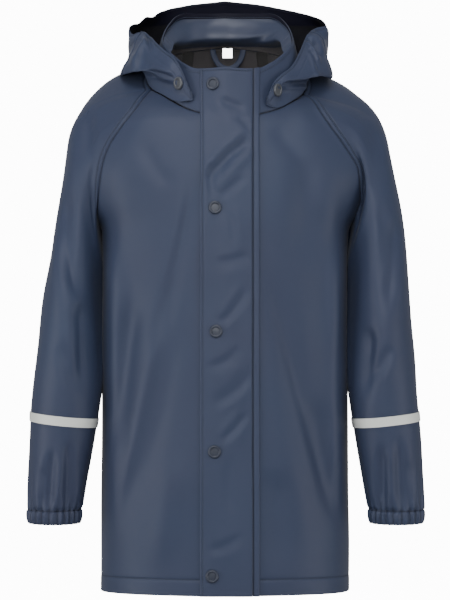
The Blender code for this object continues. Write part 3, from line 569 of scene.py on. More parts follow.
class Form:
    """The jacket's shape in space, from its tables."""

    @staticmethod
    def body(side: Side, back: bool, z: Array, turn: Array) -> Array:
        """Body surface at height z, turned from the centre line (0) to the side (pi / 2)."""
        half_width = column(BODY_SECTIONS, "z", "half_width", z)
        depth = column(BODY_SECTIONS, "z", "back" if back else "front", z)
        sin = np.sin(turn)
        cos = np.maximum(np.cos(turn), 0.0)
        reach = (sin**SECTION_POWER + cos**SECTION_POWER) ** (-1 / SECTION_POWER)
        y = depth * reach * cos
        return stack(side.value * half_width * reach * sin, y if back else -y, z)

    @staticmethod
    def neck(side: Side, angle: Array) -> Array:
        """Neck seam, angle in degrees from the centre front."""
        turn = np.radians(angle)
        return stack(
            side.value * NECK_HALF_WIDTH[side] * np.sin(turn),
            NECK_CENTRE_Y - NECK_HALF_DEPTH * np.cos(turn),
            column(NECK_ROWS, "angle", side.word + "_z", angle),
        )

    @staticmethod
    def raglan_turn(side: Side, back: bool, z: Array) -> Array:
        """Turn of the raglan seam round the body at height z."""
        name = "back_x" if back else side.word + "_x"
        share = column(RAGLAN_ROWS, "z", name, z) / column(BODY_SECTIONS, "z", "half_width", z)
        share = np.clip(share, 0.0, 1.0)
        return np.arctan2(share, (1 - share**SECTION_POWER) ** (1 / SECTION_POWER))

    @classmethod
    def yoke(cls, side: Side, back: bool, u: Array, w: Array) -> Array:
        """Panel above the armpit: u from centre line to raglan, w from armpit to neck."""
        corner = NECK_BACK_CORNER if back else NECK_FRONT_CORNER
        centre = 180.0 if back else 0.0
        ring = cls.neck(side, centre + (corner - centre) * u)
        ends = cls.neck(side, np.array([centre, corner]))[:, 2]
        share = (ring[..., 2] - ends[0]) / (ends[1] - ends[0])
        centre_z = ARMPIT_Z + (ends[0] - ARMPIT_Z) * w
        outer_z = ARMPIT_Z + (ends[1] - ARMPIT_Z) * w
        z = centre_z + (outer_z - centre_z) * share
        top = cls.body(side, back, ring[..., 2], u * cls.raglan_turn(side, back, ends[1]))
        point = cls.body(side, back, z, u * cls.raglan_turn(side, back, outer_z))
        return point + (ring - top) * (w**2)[..., None]

    @classmethod
    def panel(cls, side: Side, back: bool, u: Array, rise: Array, w: Array) -> Array:
        """Half panel: rows from hem to neck, columns from centre line to edge.

        Args:
            side: The wearer's side.
            back: True for the back of the jacket.
            u: Column parameters, 0 at the centre line and 1 at the edge.
            rise: Row parameters from the hem (0) to the armpit (1).
            w: Row parameters from the armpit (0) to the neck (1).

        Returns:
            The grid of points.
        """
        rise_grid, u_grid = np.meshgrid(rise, u, indexing="ij")
        z = HEM_Z + (ARMPIT_Z - HEM_Z) * rise_grid
        z = z - HEM_SIDE_DROP * (1 - rise_grid) ** 4 * np.sin(u_grid * math.pi / 2) ** 4
        low = cls.body(side, back, z, u_grid * math.pi / 2)
        w_grid, u_grid = np.meshgrid(w[1:], u, indexing="ij")
        return np.concatenate([low, cls.yoke(side, back, u_grid, w_grid)])

    @staticmethod
    def sleeve_ring(side: Side, station: SleeveStation, angles: Array) -> Array:
        """Oval of a sleeve station at the given angles: 0 at the top, the front at pi / 2."""
        outer_x = station.right_x if side is Side.RIGHT else station.left_x
        outer = np.array([outer_x, station.outer_z])
        inner = np.array([station.inner_x, station.inner_z])
        flat = (outer + inner) / 2 + (outer - inner) / 2 * np.cos(angles)[:, None]
        sin = np.sin(angles)
        depth = np.where(sin > 0, station.front, station.back)
        drawn = station.forward * ((1 - np.cos(angles)) / 2) ** 2
        y = station.centre_y - sin * depth - drawn
        return stack(side.value * flat[:, 0], y, flat[:, 1])

    @classmethod
    def collar(cls, side: Side, angle: Array, rise: Array) -> Array:
        """Collar surface, rise from the neck seam (0) to the top edge (1)."""
        turn = np.radians(angle)
        base = cls.neck(side, angle)
        top = stack(
            side.value * COLLAR_TOP_HALF_WIDTH[side] * np.sin(turn),
            NECK_CENTRE_Y - COLLAR_TOP_HALF_DEPTH * np.cos(turn),
            column(NECK_ROWS, "angle", "top_z", angle),
        )
        return base + (top - base) * np.asarray(rise, float)[..., None]

    @classmethod
    def hood(cls, side: Side, angle: Array, share: Array) -> Array:
        """Hood surface: angle round the neck, share from its neck edge to its rim."""
        rows = HOOD_ROWS[side]
        turn = np.radians(angle)
        forward = column(rows, "angle", "forward", angle)
        base = cls.neck(side, angle)
        out = column(rows, "angle", "neck_out", angle)
        up = column(rows, "angle", "neck_up", angle)
        away = stack(side.value * np.sin(turn) * out, -np.cos(turn) * out, up)
        knots = [base + away]
        for name, part in zip(("under", "fold", "belly", "crest", "rim"), HOOD_FORWARD_SHARES[1:]):
            radius = column(rows, "angle", name + "_r", angle)
            z = column(rows, "angle", name + "_z", angle)
            y = -np.cos(turn) * radius - forward * part
            knots.append(stack(side.value * np.sin(turn) * radius, y, z))
        knots = np.array(knots)
        places = np.array(HOOD_KNOTS)
        slopes = np.empty_like(knots)
        spans = (places[2:] - places[:-2]).reshape((-1,) + (1,) * (knots.ndim - 1))
        slopes[1:-1] = (knots[2:] - knots[:-2]) / spans
        slopes[0] = (knots[1] - knots[0]) / (places[1] - places[0])
        slopes[-1] = (knots[-1] - knots[-2]) / (places[-1] - places[-2])
        i = np.clip(np.searchsorted(places, share, side="right") - 1, 0, len(places) - 2)
        gap = (places[i + 1] - places[i])[..., None]
        t = (share - places[i])[..., None] / gap
        spot = np.indices(i.shape)
        low, high = (i, *spot), (i + 1, *spot)
        return hermite(t, knots[low], knots[high], slopes[low] * gap, slopes[high] * gap)


@dataclass(frozen=True)
class Term:
    """A shader socket that sums, differences and products can be written with."""

    graph: "Graph"
    socket: bpy.types.NodeSocket

    def _math(self, operation: str, *values: "Value") -> "Term":
        """One Math node on these values."""
        return self.graph.node("ShaderNodeMath", {"operation": operation}, dict(enumerate(values)))

    def __add__(self, other: "Value") -> "Term":
        """The sum."""
        return self._math("ADD", self, other)

    __radd__ = __add__

    def __mul__(self, other: "Value") -> "Term":
        """The product."""
        return self._math("MULTIPLY", self, other)

    __rmul__ = __mul__

    def __sub__(self, other: "Value") -> "Term":
        """The difference."""
        return self._math("SUBTRACT", self, other)

    def __rsub__(self, other: "Value") -> "Term":
        """The difference, the other way."""
        return self._math("SUBTRACT", other, self)

    def __pow__(self, other: "Value") -> "Term":
        """The power."""
        return self._math("POWER", self, other)

    def sine(self) -> "Term":
        """Its sine."""
        return self._math("SINE", self)

    def ribs(self) -> "Term":
        """Ribs from 0 to 1, two for each turn of this angle."""
        return self._math("ABSOLUTE", self.sine())

    def threads(self, pitch: float) -> "Term":
        """Threads from 0 to 1 across this length, two for each pitch in metres."""
        return (self * (2 * math.pi / pitch)).ribs()


Value = Union[Term, float, tuple]
MIX_COLOURS = (6, 7)
MIX_RESULT = 2


class Graph:
    """The nodes of one material."""

    def __init__(self, name: str) -> None:
        """Starts a material of that name with only its shader."""
        self.material = bpy.data.materials.new(name)
        self.material.use_nodes = True
        self.tree = self.material.node_tree
        self.shader = self.tree.nodes["Principled BSDF"]

    def node(self, kind: str, settings: dict, inputs: dict, output: Union[int, str] = 0) -> Term:
        """Adds a node.

        Args:
            kind: The node's type.
            settings: Its own settings, set first.
            inputs: Values or terms for its sockets, by name or place.
            output: The output to return.

        Returns:
            That output as a term.
        """
        made = self.tree.nodes.new(kind)
        for name, value in settings.items():
            setattr(made, name, value)
        for name, value in inputs.items():
            self.put(made.inputs[name], value)
        return Term(self, made.outputs[output])

    def put(self, socket: bpy.types.NodeSocket, value: Value) -> None:
        """Links a term to a socket, or sets its value."""
        if isinstance(value, Term):
            self.tree.links.new(value.socket, socket)
        else:
            socket.default_value = value

    def noise(self, place: Term, scale: float, detail: float, roughness: float = 0.5) -> Term:
        """Cloudy noise from 0 to 1 at a place."""
        inputs = {"Vector": place, "Scale": scale, "Detail": detail, "Roughness": roughness}
        return self.node("ShaderNodeTexNoise", {}, inputs, "Fac")

    def place(self) -> Term:
        """Object coordinates, in metres."""
        return self.node("ShaderNodeTexCoord", {}, {}, "Object")

    def along_cloth(self) -> tuple[Term, Term]:
        """Metres across and along the piece's own cloth."""
        spot = self.node("ShaderNodeTexCoord", {}, {}, "UV")
        across = self.node("ShaderNodeSeparateXYZ", {}, {0: spot}, "X")
        return across, Term(self, across.socket.node.outputs["Y"])

    def mixed(self, share: Term, first: Value, second: Value) -> Term:
        """A colour between two colours or terms, by share."""
        ends = [end if isinstance(end, Term) else (*end, 1.0) for end in (first, second)]
        inputs = {"Factor": share, **dict(zip(MIX_COLOURS, ends))}
        return self.node("ShaderNodeMix", {"data_type": "RGBA"}, inputs, MIX_RESULT)

    def bump(self, height: Term, strength: float, distance: float) -> None:
        """Feeds a height into the shader's normal.

        Args:
            height: The height, from 0 to 1.
            strength: How much of it shows.
            distance: The height's full size in metres.
        """
        inputs = {"Height": height, "Strength": strength, "Distance": distance}
        self.put(self.shader.inputs["Normal"], self.node("ShaderNodeBump", {}, inputs, "Normal"))

    def set(self, **values: Value) -> None:
        """Sets shader sockets, named with underscores for spaces."""
        for name, value in values.items():
            self.put(self.shader.inputs[name.replace("_", " ")], value)


Colour = tuple[float, float, float]


class Finish:
    """A look that makes its own material."""

    name: str

    def make(self) -> bpy.types.Material:
        """The material."""
        graph = Graph(self.name)
        self.dress(graph)
        return graph.material

    def dress(self, graph: Graph) -> None:
        """Adds the look's nodes."""
        raise NotImplementedError


@dataclass(frozen=True)
class CoatedCloth(Finish):
    """Polyurethane-coated face of the cloth: satin, faintly grained, with painted shade in its
    seams, grooves and gather troughs.
    """

    name: str = "coated_navy"
    face: Colour = (0.029, 0.044, 0.088)
    shade: Colour = (0.029, 0.036, 0.073)
    # seam: colour of the painted shade in seams, grooves and gather troughs
    seam: Colour = (0.010, 0.014, 0.030)
    roughness: float = 0.55
    shine: float = 0.36
    grain: float = 0.00016

    def dress(self, graph: Graph) -> None:
        """Adds the look's nodes."""
        place = graph.place()
        cloud = graph.noise(place, 7.0, 3.0)
        grain = graph.noise(place, 850.0, 2.0, 0.6)
        press = graph.noise(place, 150.0, 3.0)
        # the seam attribute holds the painted shade of seams, grooves and gather troughs
        groove_shade = graph.node("ShaderNodeAttribute", {"attribute_name": "seam"}, {}, "Fac")
        graph.set(
            Base_Color=graph.mixed(groove_shade, graph.mixed(cloud, self.face, self.shade), self.seam),
            Roughness=self.roughness + (press - 0.5) * 0.12 + groove_shade * 0.2,
            Specular_IOR_Level=self.shine,
            Sheen_Weight=self.shine / 7.0,
            Sheen_Roughness=0.4,
        )
        graph.bump(grain * 0.6 + press * 0.4, 0.5, self.grain)


@dataclass(frozen=True)
class KnitBacking(Finish):
    """Bare knit side of the cloth, ribbed along its length."""

    name: str = "knit_charcoal"
    high: Colour = (0.060, 0.052, 0.056)
    low: Colour = (0.022, 0.020, 0.023)
    fluff: float = 0.25
    wale: float = 0.0011
    course: float = 0.0015

    def dress(self, graph: Graph) -> None:
        """Adds the look's nodes."""
        across, along = graph.along_cloth()
        wale = across.threads(self.wale)
        skew = (across * (4 * math.pi / self.wale)).sine() * 0.9
        course = (along * (2 * math.pi / self.course) + skew).ribs()
        stitch = wale * 0.6 + course * 0.4
        fluff = graph.noise(graph.place(), 420.0, 4.0, 0.7)
        graph.set(
            Base_Color=graph.mixed(stitch * 0.75 + fluff * 0.25, self.low, self.high),
            Roughness=0.95,
            Specular_IOR_Level=0.15,
            Sheen_Weight=self.fluff,
            Sheen_Roughness=0.7,
        )
        graph.bump(stitch * 0.7 + fluff * 0.3, 0.7, 0.0004)


@dataclass(frozen=True)
class SeamTape(KnitBacking):
    """Darker, flatter tape welded over the seams inside."""

    name: str = "seam_tape"
    high: Colour = (0.011, 0.009, 0.009)
    low: Colour = (0.005, 0.004, 0.004)


@dataclass(frozen=True)
class ReflectiveTape(Finish):
    """Silver glass-bead tape with its fine woven ground."""

    name: str = "tape_silver"
    bright: Colour = (0.84, 0.86, 0.82)
    dull: Colour = (0.66, 0.68, 0.65)
    pitch: float = 0.0009

    def dress(self, graph: Graph) -> None:
        """Adds the look's nodes."""
        across, along = graph.along_cloth()
        cloth = across.threads(self.pitch) * along.threads(self.pitch)
        beads = graph.noise(graph.place(), 2400.0, 1.0)
        graph.set(
            Base_Color=graph.mixed(cloth * 0.6 + beads * 0.4, self.dull, self.bright),
            Roughness=0.42 + beads * 0.16,
            Metallic=0.1,
        )
        graph.bump(cloth * 0.5 + beads * 0.5, 0.5, 0.00012)


@dataclass(frozen=True)
class MouldedCap(Finish):
    """Moulded snap cap, rubbed a little in patches."""

    name: str = "snap_navy"
    body: Colour = (0.014, 0.020, 0.040)
    rubbed: Colour = (0.050, 0.060, 0.088)
    roughness: float = 0.40

    def dress(self, graph: Graph) -> None:
        """Adds the look's nodes."""
        place = graph.place()
        rub = graph.noise(place, 260.0, 4.0, 0.65)
        fine = graph.noise(place, 1800.0, 2.0)
        graph.set(
            Base_Color=graph.mixed(rub**2.2, self.body, self.rubbed),
            Roughness=self.roughness + rub * 0.12,
            Coat_Weight=0.12,
        )
        graph.bump(fine, 0.35, 0.00006)


@dataclass(frozen=True)
class Thread(Finish):
    """Spun thread of the topstitching."""

    name: str = "thread_navy"
    light: Colour = (0.048, 0.066, 0.115)
    dark: Colour = (0.020, 0.028, 0.052)

    def dress(self, graph: Graph) -> None:
        """Adds the look's nodes."""
        twist = graph.noise(graph.place(), 1500.0, 2.0)
        graph.set(Base_Color=graph.mixed(twist, self.dark, self.light), Roughness=0.62)
        graph.bump(twist, 0.6, 0.0001)


@dataclass(frozen=True)
class LabelCloth(Finish):
    """Blank white woven label that glows: its emission is painted light, as it is no lamp."""

    name: str = "label_white"
    high: Colour = (0.88, 0.88, 0.87)
    low: Colour = (0.72, 0.72, 0.71)
    # glow: emission strength, painted light that keeps the label white in the collar's shade
    glow: float = 9.0
    pitch: float = 0.0006

    def dress(self, graph: Graph) -> None:
        """Adds the look's nodes."""
        across, along = graph.along_cloth()
        weave = across.threads(self.pitch) * along.threads(self.pitch)
        colour = graph.mixed(weave, self.low, self.high)
        graph.set(Base_Color=colour, Emission_Color=colour)
        graph.set(Roughness=0.7, Emission_Strength=self.glow)
        graph.bump(weave, 0.5, 0.0001)


@dataclass(frozen=True)
class StudioWhite(Finish):
    """Matt white paper of the floor and the backdrop."""

    name: str = "studio_white"
    tone: float = 0.9
    glow: float = 14.0

    def dress(self, graph: Graph) -> None:
        """Adds the look's nodes."""
        fibre = graph.noise(graph.place(), 30.0, 3.0)
        colour = graph.mixed(fibre, (self.tone,) * 3, (self.tone * 0.985,) * 3)
        graph.set(Base_Color=colour, Emission_Color=colour)
        graph.set(Roughness=0.9, Emission_Strength=self.glow)


class Finishes:
    """Every material of the jacket, made once."""

    def __init__(self) -> None:
        """Makes them."""
        self.coated = CoatedCloth().make()
        # The facing is the coated cloth darkened: painted shade on the collar's top margin inside
        # and on the hood's turned bands.
        self.facing = CoatedCloth(
            "facing_navy_painted_shade", face=(0.0085, 0.0085, 0.019), shade=(0.006, 0.006, 0.014), shine=0.12
        ).make()
        self.roll = CoatedCloth("collar_navy", roughness=0.47, shine=0.65).make()
        self.knit = KnitBacking().make()
        # The body's knit darkened: painted shade inside the hood.
        self.hood_knit = KnitBacking(
            "knit_painted_shade_hood", high=(0.012, 0.012, 0.018), low=(0.005, 0.005, 0.008), fluff=0.03
        ).make()
        self.seam_tape = SeamTape().make()
        self.tape = ReflectiveTape().make()
        self.cap = MouldedCap().make()
        self.hood_cap = MouldedCap(
            "snap_grey", body=(0.045, 0.050, 0.062), rubbed=(0.13, 0.135, 0.145), roughness=0.26
        ).make()
        self.thread = Thread().make()
        self.label = LabelCloth().make()
        self.paper = StudioWhite().make()


def linked(name: str, data: bpy.types.ID) -> bpy.types.Object:
    """Puts a mesh, a lamp or a camera into the scene."""
    thing = bpy.data.objects.new(name, data)
    bpy.context.scene.collection.objects.link(thing)
    return thing


def new_object(
    name: str, points: Array, faces: Array, materials: Sequence[bpy.types.Material]
) -> bpy.types.Object:
    """Adds a mesh of quads to the scene.

    Args:
        name: The piece's name.
        points: Its points in millimetres.
        faces: Four point numbers for each face.
        materials: Its material slots.

    Returns:
        The object, at the origin.
    """
    mesh = bpy.data.meshes.new(name)
    mesh.vertices.add(len(points))
    mesh.vertices.foreach_set("co", (points * MM).astype(np.float32).ravel())
    mesh.loops.add(faces.size)
    mesh.loops.foreach_set("vertex_index", faces.astype(np.int32).ravel())
    mesh.polygons.add(len(faces))
    starts = np.arange(0, faces.size, faces.shape[1], dtype=np.int32)
    mesh.polygons.foreach_set("loop_start", starts)
    mesh.polygons.foreach_set("use_smooth", np.ones(len(faces), bool))
    mesh.update(calc_edges=True)
    mesh.validate()
    for material in materials:
        mesh.materials.append(material)
    return linked(name, mesh)


def keep(piece: bpy.types.Object, replaces: str = "") -> None:
    """Fixes a finished piece to the jacket.

    Args:
        piece: The piece.
        replaces: The CAD node it stands for, if there is one.
    """
    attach(piece, BODY)
    if replaces:
        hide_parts(replaces)


@dataclass
class Cloth:
    """A sheet given its thickness, as a closed piece with a face and a back.

    turned gives the width along an edge where the cloth is turned in, which shows its
    face there, or the lining where there is one. seam is the painted shade at each point.
    """

    name: str
    sheet: Sheet
    face: bpy.types.Material
    back: bpy.types.Material
    thickness: float = CLOTH_THICKNESS
    free_edges: tuple[Edge, ...] = ()
    turned: dict[Edge, float] = field(default_factory=dict)
    seam: Optional[Array] = None
    lining: Optional[bpy.types.Material] = None

    def walls(self) -> tuple[Array, Array]:
        """The points of its face and of its back, rounded together at free edges."""
        full = np.ones(self.sheet.points.shape[:2])
        for edge in self.free_edges:
            share = np.clip(self.sheet.from_edge(edge) / (self.thickness * 0.6), 0.0, 1.0)
            full = np.minimum(full, np.maximum(np.sqrt(1 - (1 - share) ** 2), 0.12))
        middle = self.sheet.points - self.sheet.normals * self.thickness / 2
        half = self.sheet.normals * (full * self.thickness / 2)[..., None]
        return middle + half, middle - half

    def faces(self) -> tuple[Array, Array]:
        """All its faces, and the number of those that show the face of the cloth."""
        rows, columns = self.sheet.points.shape[:2]
        spot = np.arange(rows * columns).reshape(rows, columns)
        if self.sheet.closed:
            spot = np.concatenate([spot, spot[:, :1]], axis=1)
        a, b, c, d = spot[:-1, :-1], spot[:-1, 1:], spot[1:, 1:], spot[1:, :-1]
        quads = np.stack([a, b, c, d], axis=-1).reshape(-1, 4)
        count = rows * columns
        lines = [spot[0, ::-1], spot[-1]]
        if not self.sheet.closed:
            lines += [spot[:, 0], spot[::-1, -1]]
        rims = [np.stack([k[:-1], k[1:], k[1:] + count, k[:-1] + count], -1) for k in lines]
        rim = np.concatenate(rims)[:, ::-1]
        every = np.concatenate([quads, quads[:, ::-1] + count, rim])
        if self.sheet.turn < 0:
            every = every[:, ::-1]
        return every, len(quads)

    def build(self) -> bpy.types.Object:
        """Makes the object, with a map of its cloth in metres and its painted seam shade."""
        outer, inner = self.walls()
        faces, shown = self.faces()
        points = np.concatenate([outer.reshape(-1, 3), inner.reshape(-1, 3)])
        used = [self.face, self.back] + [self.lining] * (self.lining is not None)
        made = new_object(self.name, points, faces, used)
        rows, columns = self.sheet.points.shape[:2]
        mesh = made.data
        slots = np.zeros(len(faces), np.int32)
        slots[shown : 2 * shown] = 1
        for edge, width in self.turned.items():
            across = 1 - edge.value[0]
            far = self.sheet.from_edge(edge).mean(axis=across, keepdims=True)
            near = np.broadcast_to(far < width, (rows, columns))[: rows - 1]
            near = near if self.sheet.closed else near[:, :-1]
            slots[shown : 2 * shown][near.ravel()] = 2 if self.lining else 0
        mesh.polygons.foreach_set("material_index", slots)
        across = self.sheet.from_edge(Edge.FIRST_COLUMN)
        along = self.sheet.from_edge(Edge.FIRST_ROW)
        flat = np.stack([across, along], axis=-1).reshape(-1, 2) * MM
        index = np.empty(len(mesh.loops), np.int32)
        mesh.loops.foreach_get("vertex_index", index)
        layer = mesh.uv_layers.new(name="cloth")
        layer.data.foreach_set("uv", np.tile(flat, (2, 1))[index].astype(np.float32).ravel())
        # seam attribute: painted shade in seams, grooves and gather troughs, on the face wall only
        dark = np.zeros((rows, columns)) if self.seam is None else np.clip(self.seam, 0, 1)
        groove_shade = mesh.attributes.new("seam", "FLOAT", "POINT")
        both = np.concatenate([dark.ravel(), np.zeros(rows * columns)])
        groove_shade.data.foreach_set("value", both.astype(np.float32))
        log.info("%s: %d faces", self.name, len(faces))
        return made

    def sewn(
        self,
        node: str,
    ) -> bpy.types.Object:
        """Makes the piece and fixes it to the jacket.

        Args:
            node: The CAD node that it stands for, or nothing.

        Returns:
            The piece.
        """
        piece = self.build()
        keep(piece, node)
        return piece


class Stitching:
    """Rows of topstitches, all copies of one stitch."""

    def __init__(self, length: float = 2.5, pitch: float = 3.3, girth: float = 0.62) -> None:
        """Models the stitch: a short plump thread, pinched at both ends.

        Args:
            length: Length of a stitch.
            pitch: From one stitch to the next.
            girth: Thickness of the thread.
        """
        self.pitch = pitch
        bpy.ops.object.select_all(action="DESELECT")
        bpy.ops.mesh.primitive_cylinder_add(
            vertices=6, radius=0.5, depth=1.0, rotation=(0, math.pi / 2, 0)
        )
        stitch = bpy.context.object
        bpy.ops.object.transform_apply(location=False, rotation=True, scale=False)
        bpy.ops.object.mode_set(mode="EDIT")
        bpy.ops.mesh.select_all(action="DESELECT")
        bpy.ops.mesh.select_mode(type="FACE")
        bpy.ops.object.mode_set(mode="OBJECT")
        for face in stitch.data.polygons:
            face.select = abs(face.normal.x) > 0.9
        bpy.ops.object.mode_set(mode="EDIT")
        bpy.ops.mesh.inset(thickness=0.22, depth=0.16, use_individual=True)
        bpy.ops.object.mode_set(mode="OBJECT")
        mesh = stitch.data
        self.points = np.array([v.co for v in mesh.vertices]) * (length / 1.32, girth, girth)
        self.faces = [np.array(face.vertices) for face in mesh.polygons]
        bpy.data.objects.remove(stitch)
        bpy.data.meshes.remove(mesh)
        self.rows: list[tuple[Array, Array]] = []

    def add(self, line: Array, facing: Array, lift: float = 0.12) -> None:
        """Lays a row of stitches along a line on the cloth.

        Args:
            line: Points of the line.
            facing: The cloth's normals there.
            lift: How far the thread's middle stands over the cloth.
        """
        run = run_of(line)
        count = int(run[-1] / self.pitch)
        if count < 1:
            return
        at = (np.arange(count) + 0.5) * run[-1] / count
        ends = [at - self.pitch * 0.3, at + self.pitch * 0.3]

        def pick(values: Array, spots: Array) -> Array:
            """The values at spots along the line."""
            return np.stack([np.interp(spots, run, values[:, k]) for k in range(3)], -1)

        heading = unit(pick(line, ends[1]) - pick(line, ends[0]))
        up = unit(pick(facing, at))
        across = unit(np.cross(up, heading))
        up = np.cross(heading, across)
        centre = pick(line, at) + up * lift
        self.rows.append((centre, np.stack([heading, across, up], axis=1)))

    def build(self, name: str, material: bpy.types.Material) -> None:
        """Makes all the rows laid so far one piece of the jacket, and starts afresh.

        Args:
            name: The piece's name.
            material: The thread.
        """
        centre = np.concatenate([row[0] for row in self.rows])
        turn = np.concatenate([row[1] for row in self.rows])
        self.rows = []
        points = np.einsum("vj,sjk->svk", self.points, turn) + centre[:, None]
        mesh = bpy.data.meshes.new(name)
        count = len(self.points)
        starts = np.arange(len(centre)) * count
        faces = [tuple(face + start) for start in starts for face in self.faces]
        mesh.from_pydata((points.reshape(-1, 3) * MM).tolist(), [], faces)
        mesh.polygons.foreach_set("use_smooth", np.ones(len(faces), bool))
        mesh.materials.append(material)
        keep(linked(name, mesh))
        log.info("%s: %d stitches", name, len(centre))


@dataclass(frozen=True)
class Groove:
    """A line sunk into the cloth by a seam or a row of stitches, with painted shade along it."""

    depth: float
    width: float
    shade: float = 0.0
    shade_width: float = 1.0

    def sunk(self, distance: Array) -> Array:
        """Distance outwards at a distance from the line."""
        return -self.depth * bell(distance, self.width)

    def dark(self, distance: Array) -> Array:
        """How much painted shade the cloth has at a distance from the line."""
        return self.shade * bell(distance, self.shade_width)


@dataclass(frozen=True)
class Seam:
    """A seam with its topstitching on one side, and the cloth plump between them."""

    line: Groove = Groove(1.2, 1.4, 0.9, 0.8)
    stitch: Groove = Groove(0.8, 1.1, 0.85, 0.8)
    stitch_at: float = 6.4
    swell: float = 0.75

    def offset(self, distance: Array) -> Array:
        """Distance outwards on the stitched side of the seam."""
        puff = self.swell * bell(distance - self.stitch_at / 2, self.stitch_at / 3)
        return puff + self.line.sunk(distance) + self.stitch.sunk(distance - self.stitch_at)

    def dark(self, distance: Array) -> Array:
        """How much painted shade the cloth has on the stitched side of the seam."""
        return self.line.dark(distance) + self.stitch.dark(distance - self.stitch_at)


BODY_FOLDS = table(
    Crease,
    (-107, -250, -123, -355, -138, -470, 12, -5.5),
    (-72, -262, -98, -390, -134, -545, 11, 4.2, -0.3),
    (-36, -112, -60, -235, -92, -345, 9, -3.2, 0.2, 0.2),
    (-58, -280, -76, -400, -112, -520, 12, -2.4), (54, -230, 88, -370, 146, -572, 14, -4.6, 0.3),
    (50, -300, 70, -440, 112, -590, 14, 1.8), (96, -95, 98, -150, 92, -240, 17, -4.5),
    (104, -380, 122, -460, 138, -550, 15, -4.0), (-60, -450, -70, -520, -84, -600, 16, 2.8),
    (60, -470, 62, -530, 58, -600, 18, -2.8), (-100, -75, -84, -110, -60, -135, 10, -1.8),
    (60, -60, 76, -84, 104, -110, 10, -1.6), (-118, -140, -126, -230, -122, -330, 13, 2.2),
    (122, -120, 132, -230, 132, -350, 13, 2.8),
)
BACK_FOLDS = table(
    Crease,
    (-96, -230, -106, -370, -122, -560, 18, 4.5), (92, -240, 108, -380, 120, -570, 18, 4.5),
    (-60, -300, -64, -420, -76, -600, 20, -4.0), (40, -260, 50, -400, 66, -600, 20, -4.0),
    (-4, -330, -8, -460, -2, -600, 22, 3.0), (-120, -120, -100, -175, -70, -215, 16, -3.0),
    (118, -125, 98, -180, 66, -220, 16, -3.0),
)
SLEEVE_FRONT_FOLDS = table(
    Crease,
    (-163, -34, -160, -70, -152, -112, 13, -5.5), (-146, -20, -158, -44, -178, -60, 9, -1.8),
    (180, -50, 184, -100, 178, -160, 14, -4.5), (148, -16, 160, -36, 182, -56, 9, -1.6),
    (-187, -128, -190, -205, -172, -275, 9, -4.6, 0.2, 0.25),
    (-200, -165, -203, -230, -198, -300, 11, 3.0),
    (204, -170, 202, -220, 194, -290, 9, -4.6, -0.2, 0.25),
    (186, -145, 190, -200, 180, -260, 8, -2.6), (-176, -270, -168, -320, -174, -395, 12, -5.0),
    (-196, -318, -190, -350, -176, -380, 7, -2.0, 0.0, 0.3),
    (172, -300, 170, -340, 166, -392, 11, -5.0),
    (200, -322, 190, -345, 174, -366, 7, -2.2, 0.0, 0.3),
    (-206, -446, -209, -485, -211, -522, 6.5, -3.6, 0.0, 0.35),
    (-188, -436, -189, -480, -192, -522, 6.0, -3.4, 0.0, 0.35),
    (-219, -470, -221, -495, -222, -522, 5.0, -1.8),
    (189, -440, 189, -480, 190, -522, 6.0, -3.4, 0.0, 0.35),
    (208, -430, 210, -480, 212, -522, 6.5, -3.4, 0.0, 0.35),
    (221, -462, 223, -490, 224, -522, 5.0, -2.0),
)
SLEEVE_BACK_FOLDS = table(
    Crease,
    (-178, -120, -184, -190, -176, -260, 13, -4.0), (182, -120, 188, -190, 180, -260, 13, -4.0),
    (-190, -300, -198, -350, -196, -395, 13, 3.5), (192, -300, 198, -350, 198, -395, 13, 3.5),
    (-200, -450, -200, -490, -202, -522, 8, -2.5), (200, -450, 201, -490, 203, -522, 8, -2.5),
)
HOOD_CREASES = table(
    Crease,
    (-98, 50, -106, 38, -113, 22, 3.2, -3.2, 0.0, 0.5),
    (-96, 51, -91, 40, -90, 27, 2.6, -2.2, 0.0, 0.4),
    (-109, 46, -115, 26, -120, 10, 3.6, -2.2, 0.0, 0.4),
    (-98, 3, -80, 2, -59, -5, 2.8, -2.4, 0.0, 0.6),
    (-104, 26, -96, 14, -84, 8, 7.0, -1.6, 0.0, 0.3),
    (105, 54, 116, 50, 124, 40, 3.4, -3.0, 0.0, 0.5),
    (100, 50, 108, 38, 114, 22, 3.4, -2.0, 0.0, 0.4),
    (112, 20, 116, 6, 121, -6, 4.5, -2.6, 0.0, 0.3),
    (66, -12, 90, -10, 111, -11, 2.8, -2.4, 0.0, 0.6),
    (94, 43, 107, 38, 117, 16, 2.1, -2.8, 0.0, 0.8),
    (100, 33, 108, 22, 112, 2, 2.2, -1.5, 0.0, 0.5),
    (100, 49, 109, 46, 123, 30, 3.0, 1.8, 0.0, 0.0),
)
ROLL_LINE = table(
    RollPoint,
    (-80, 39.0), (-60, 37.5), (-30, 42.0), (4, 43.5), (30, 43.0), (60, 40.0), (80, 42.0),
)
ROLL_CREASES = (Crease(14, 37, 46, 42, 72, 53, 3.4, -2.6, 0.0, 0.4),)
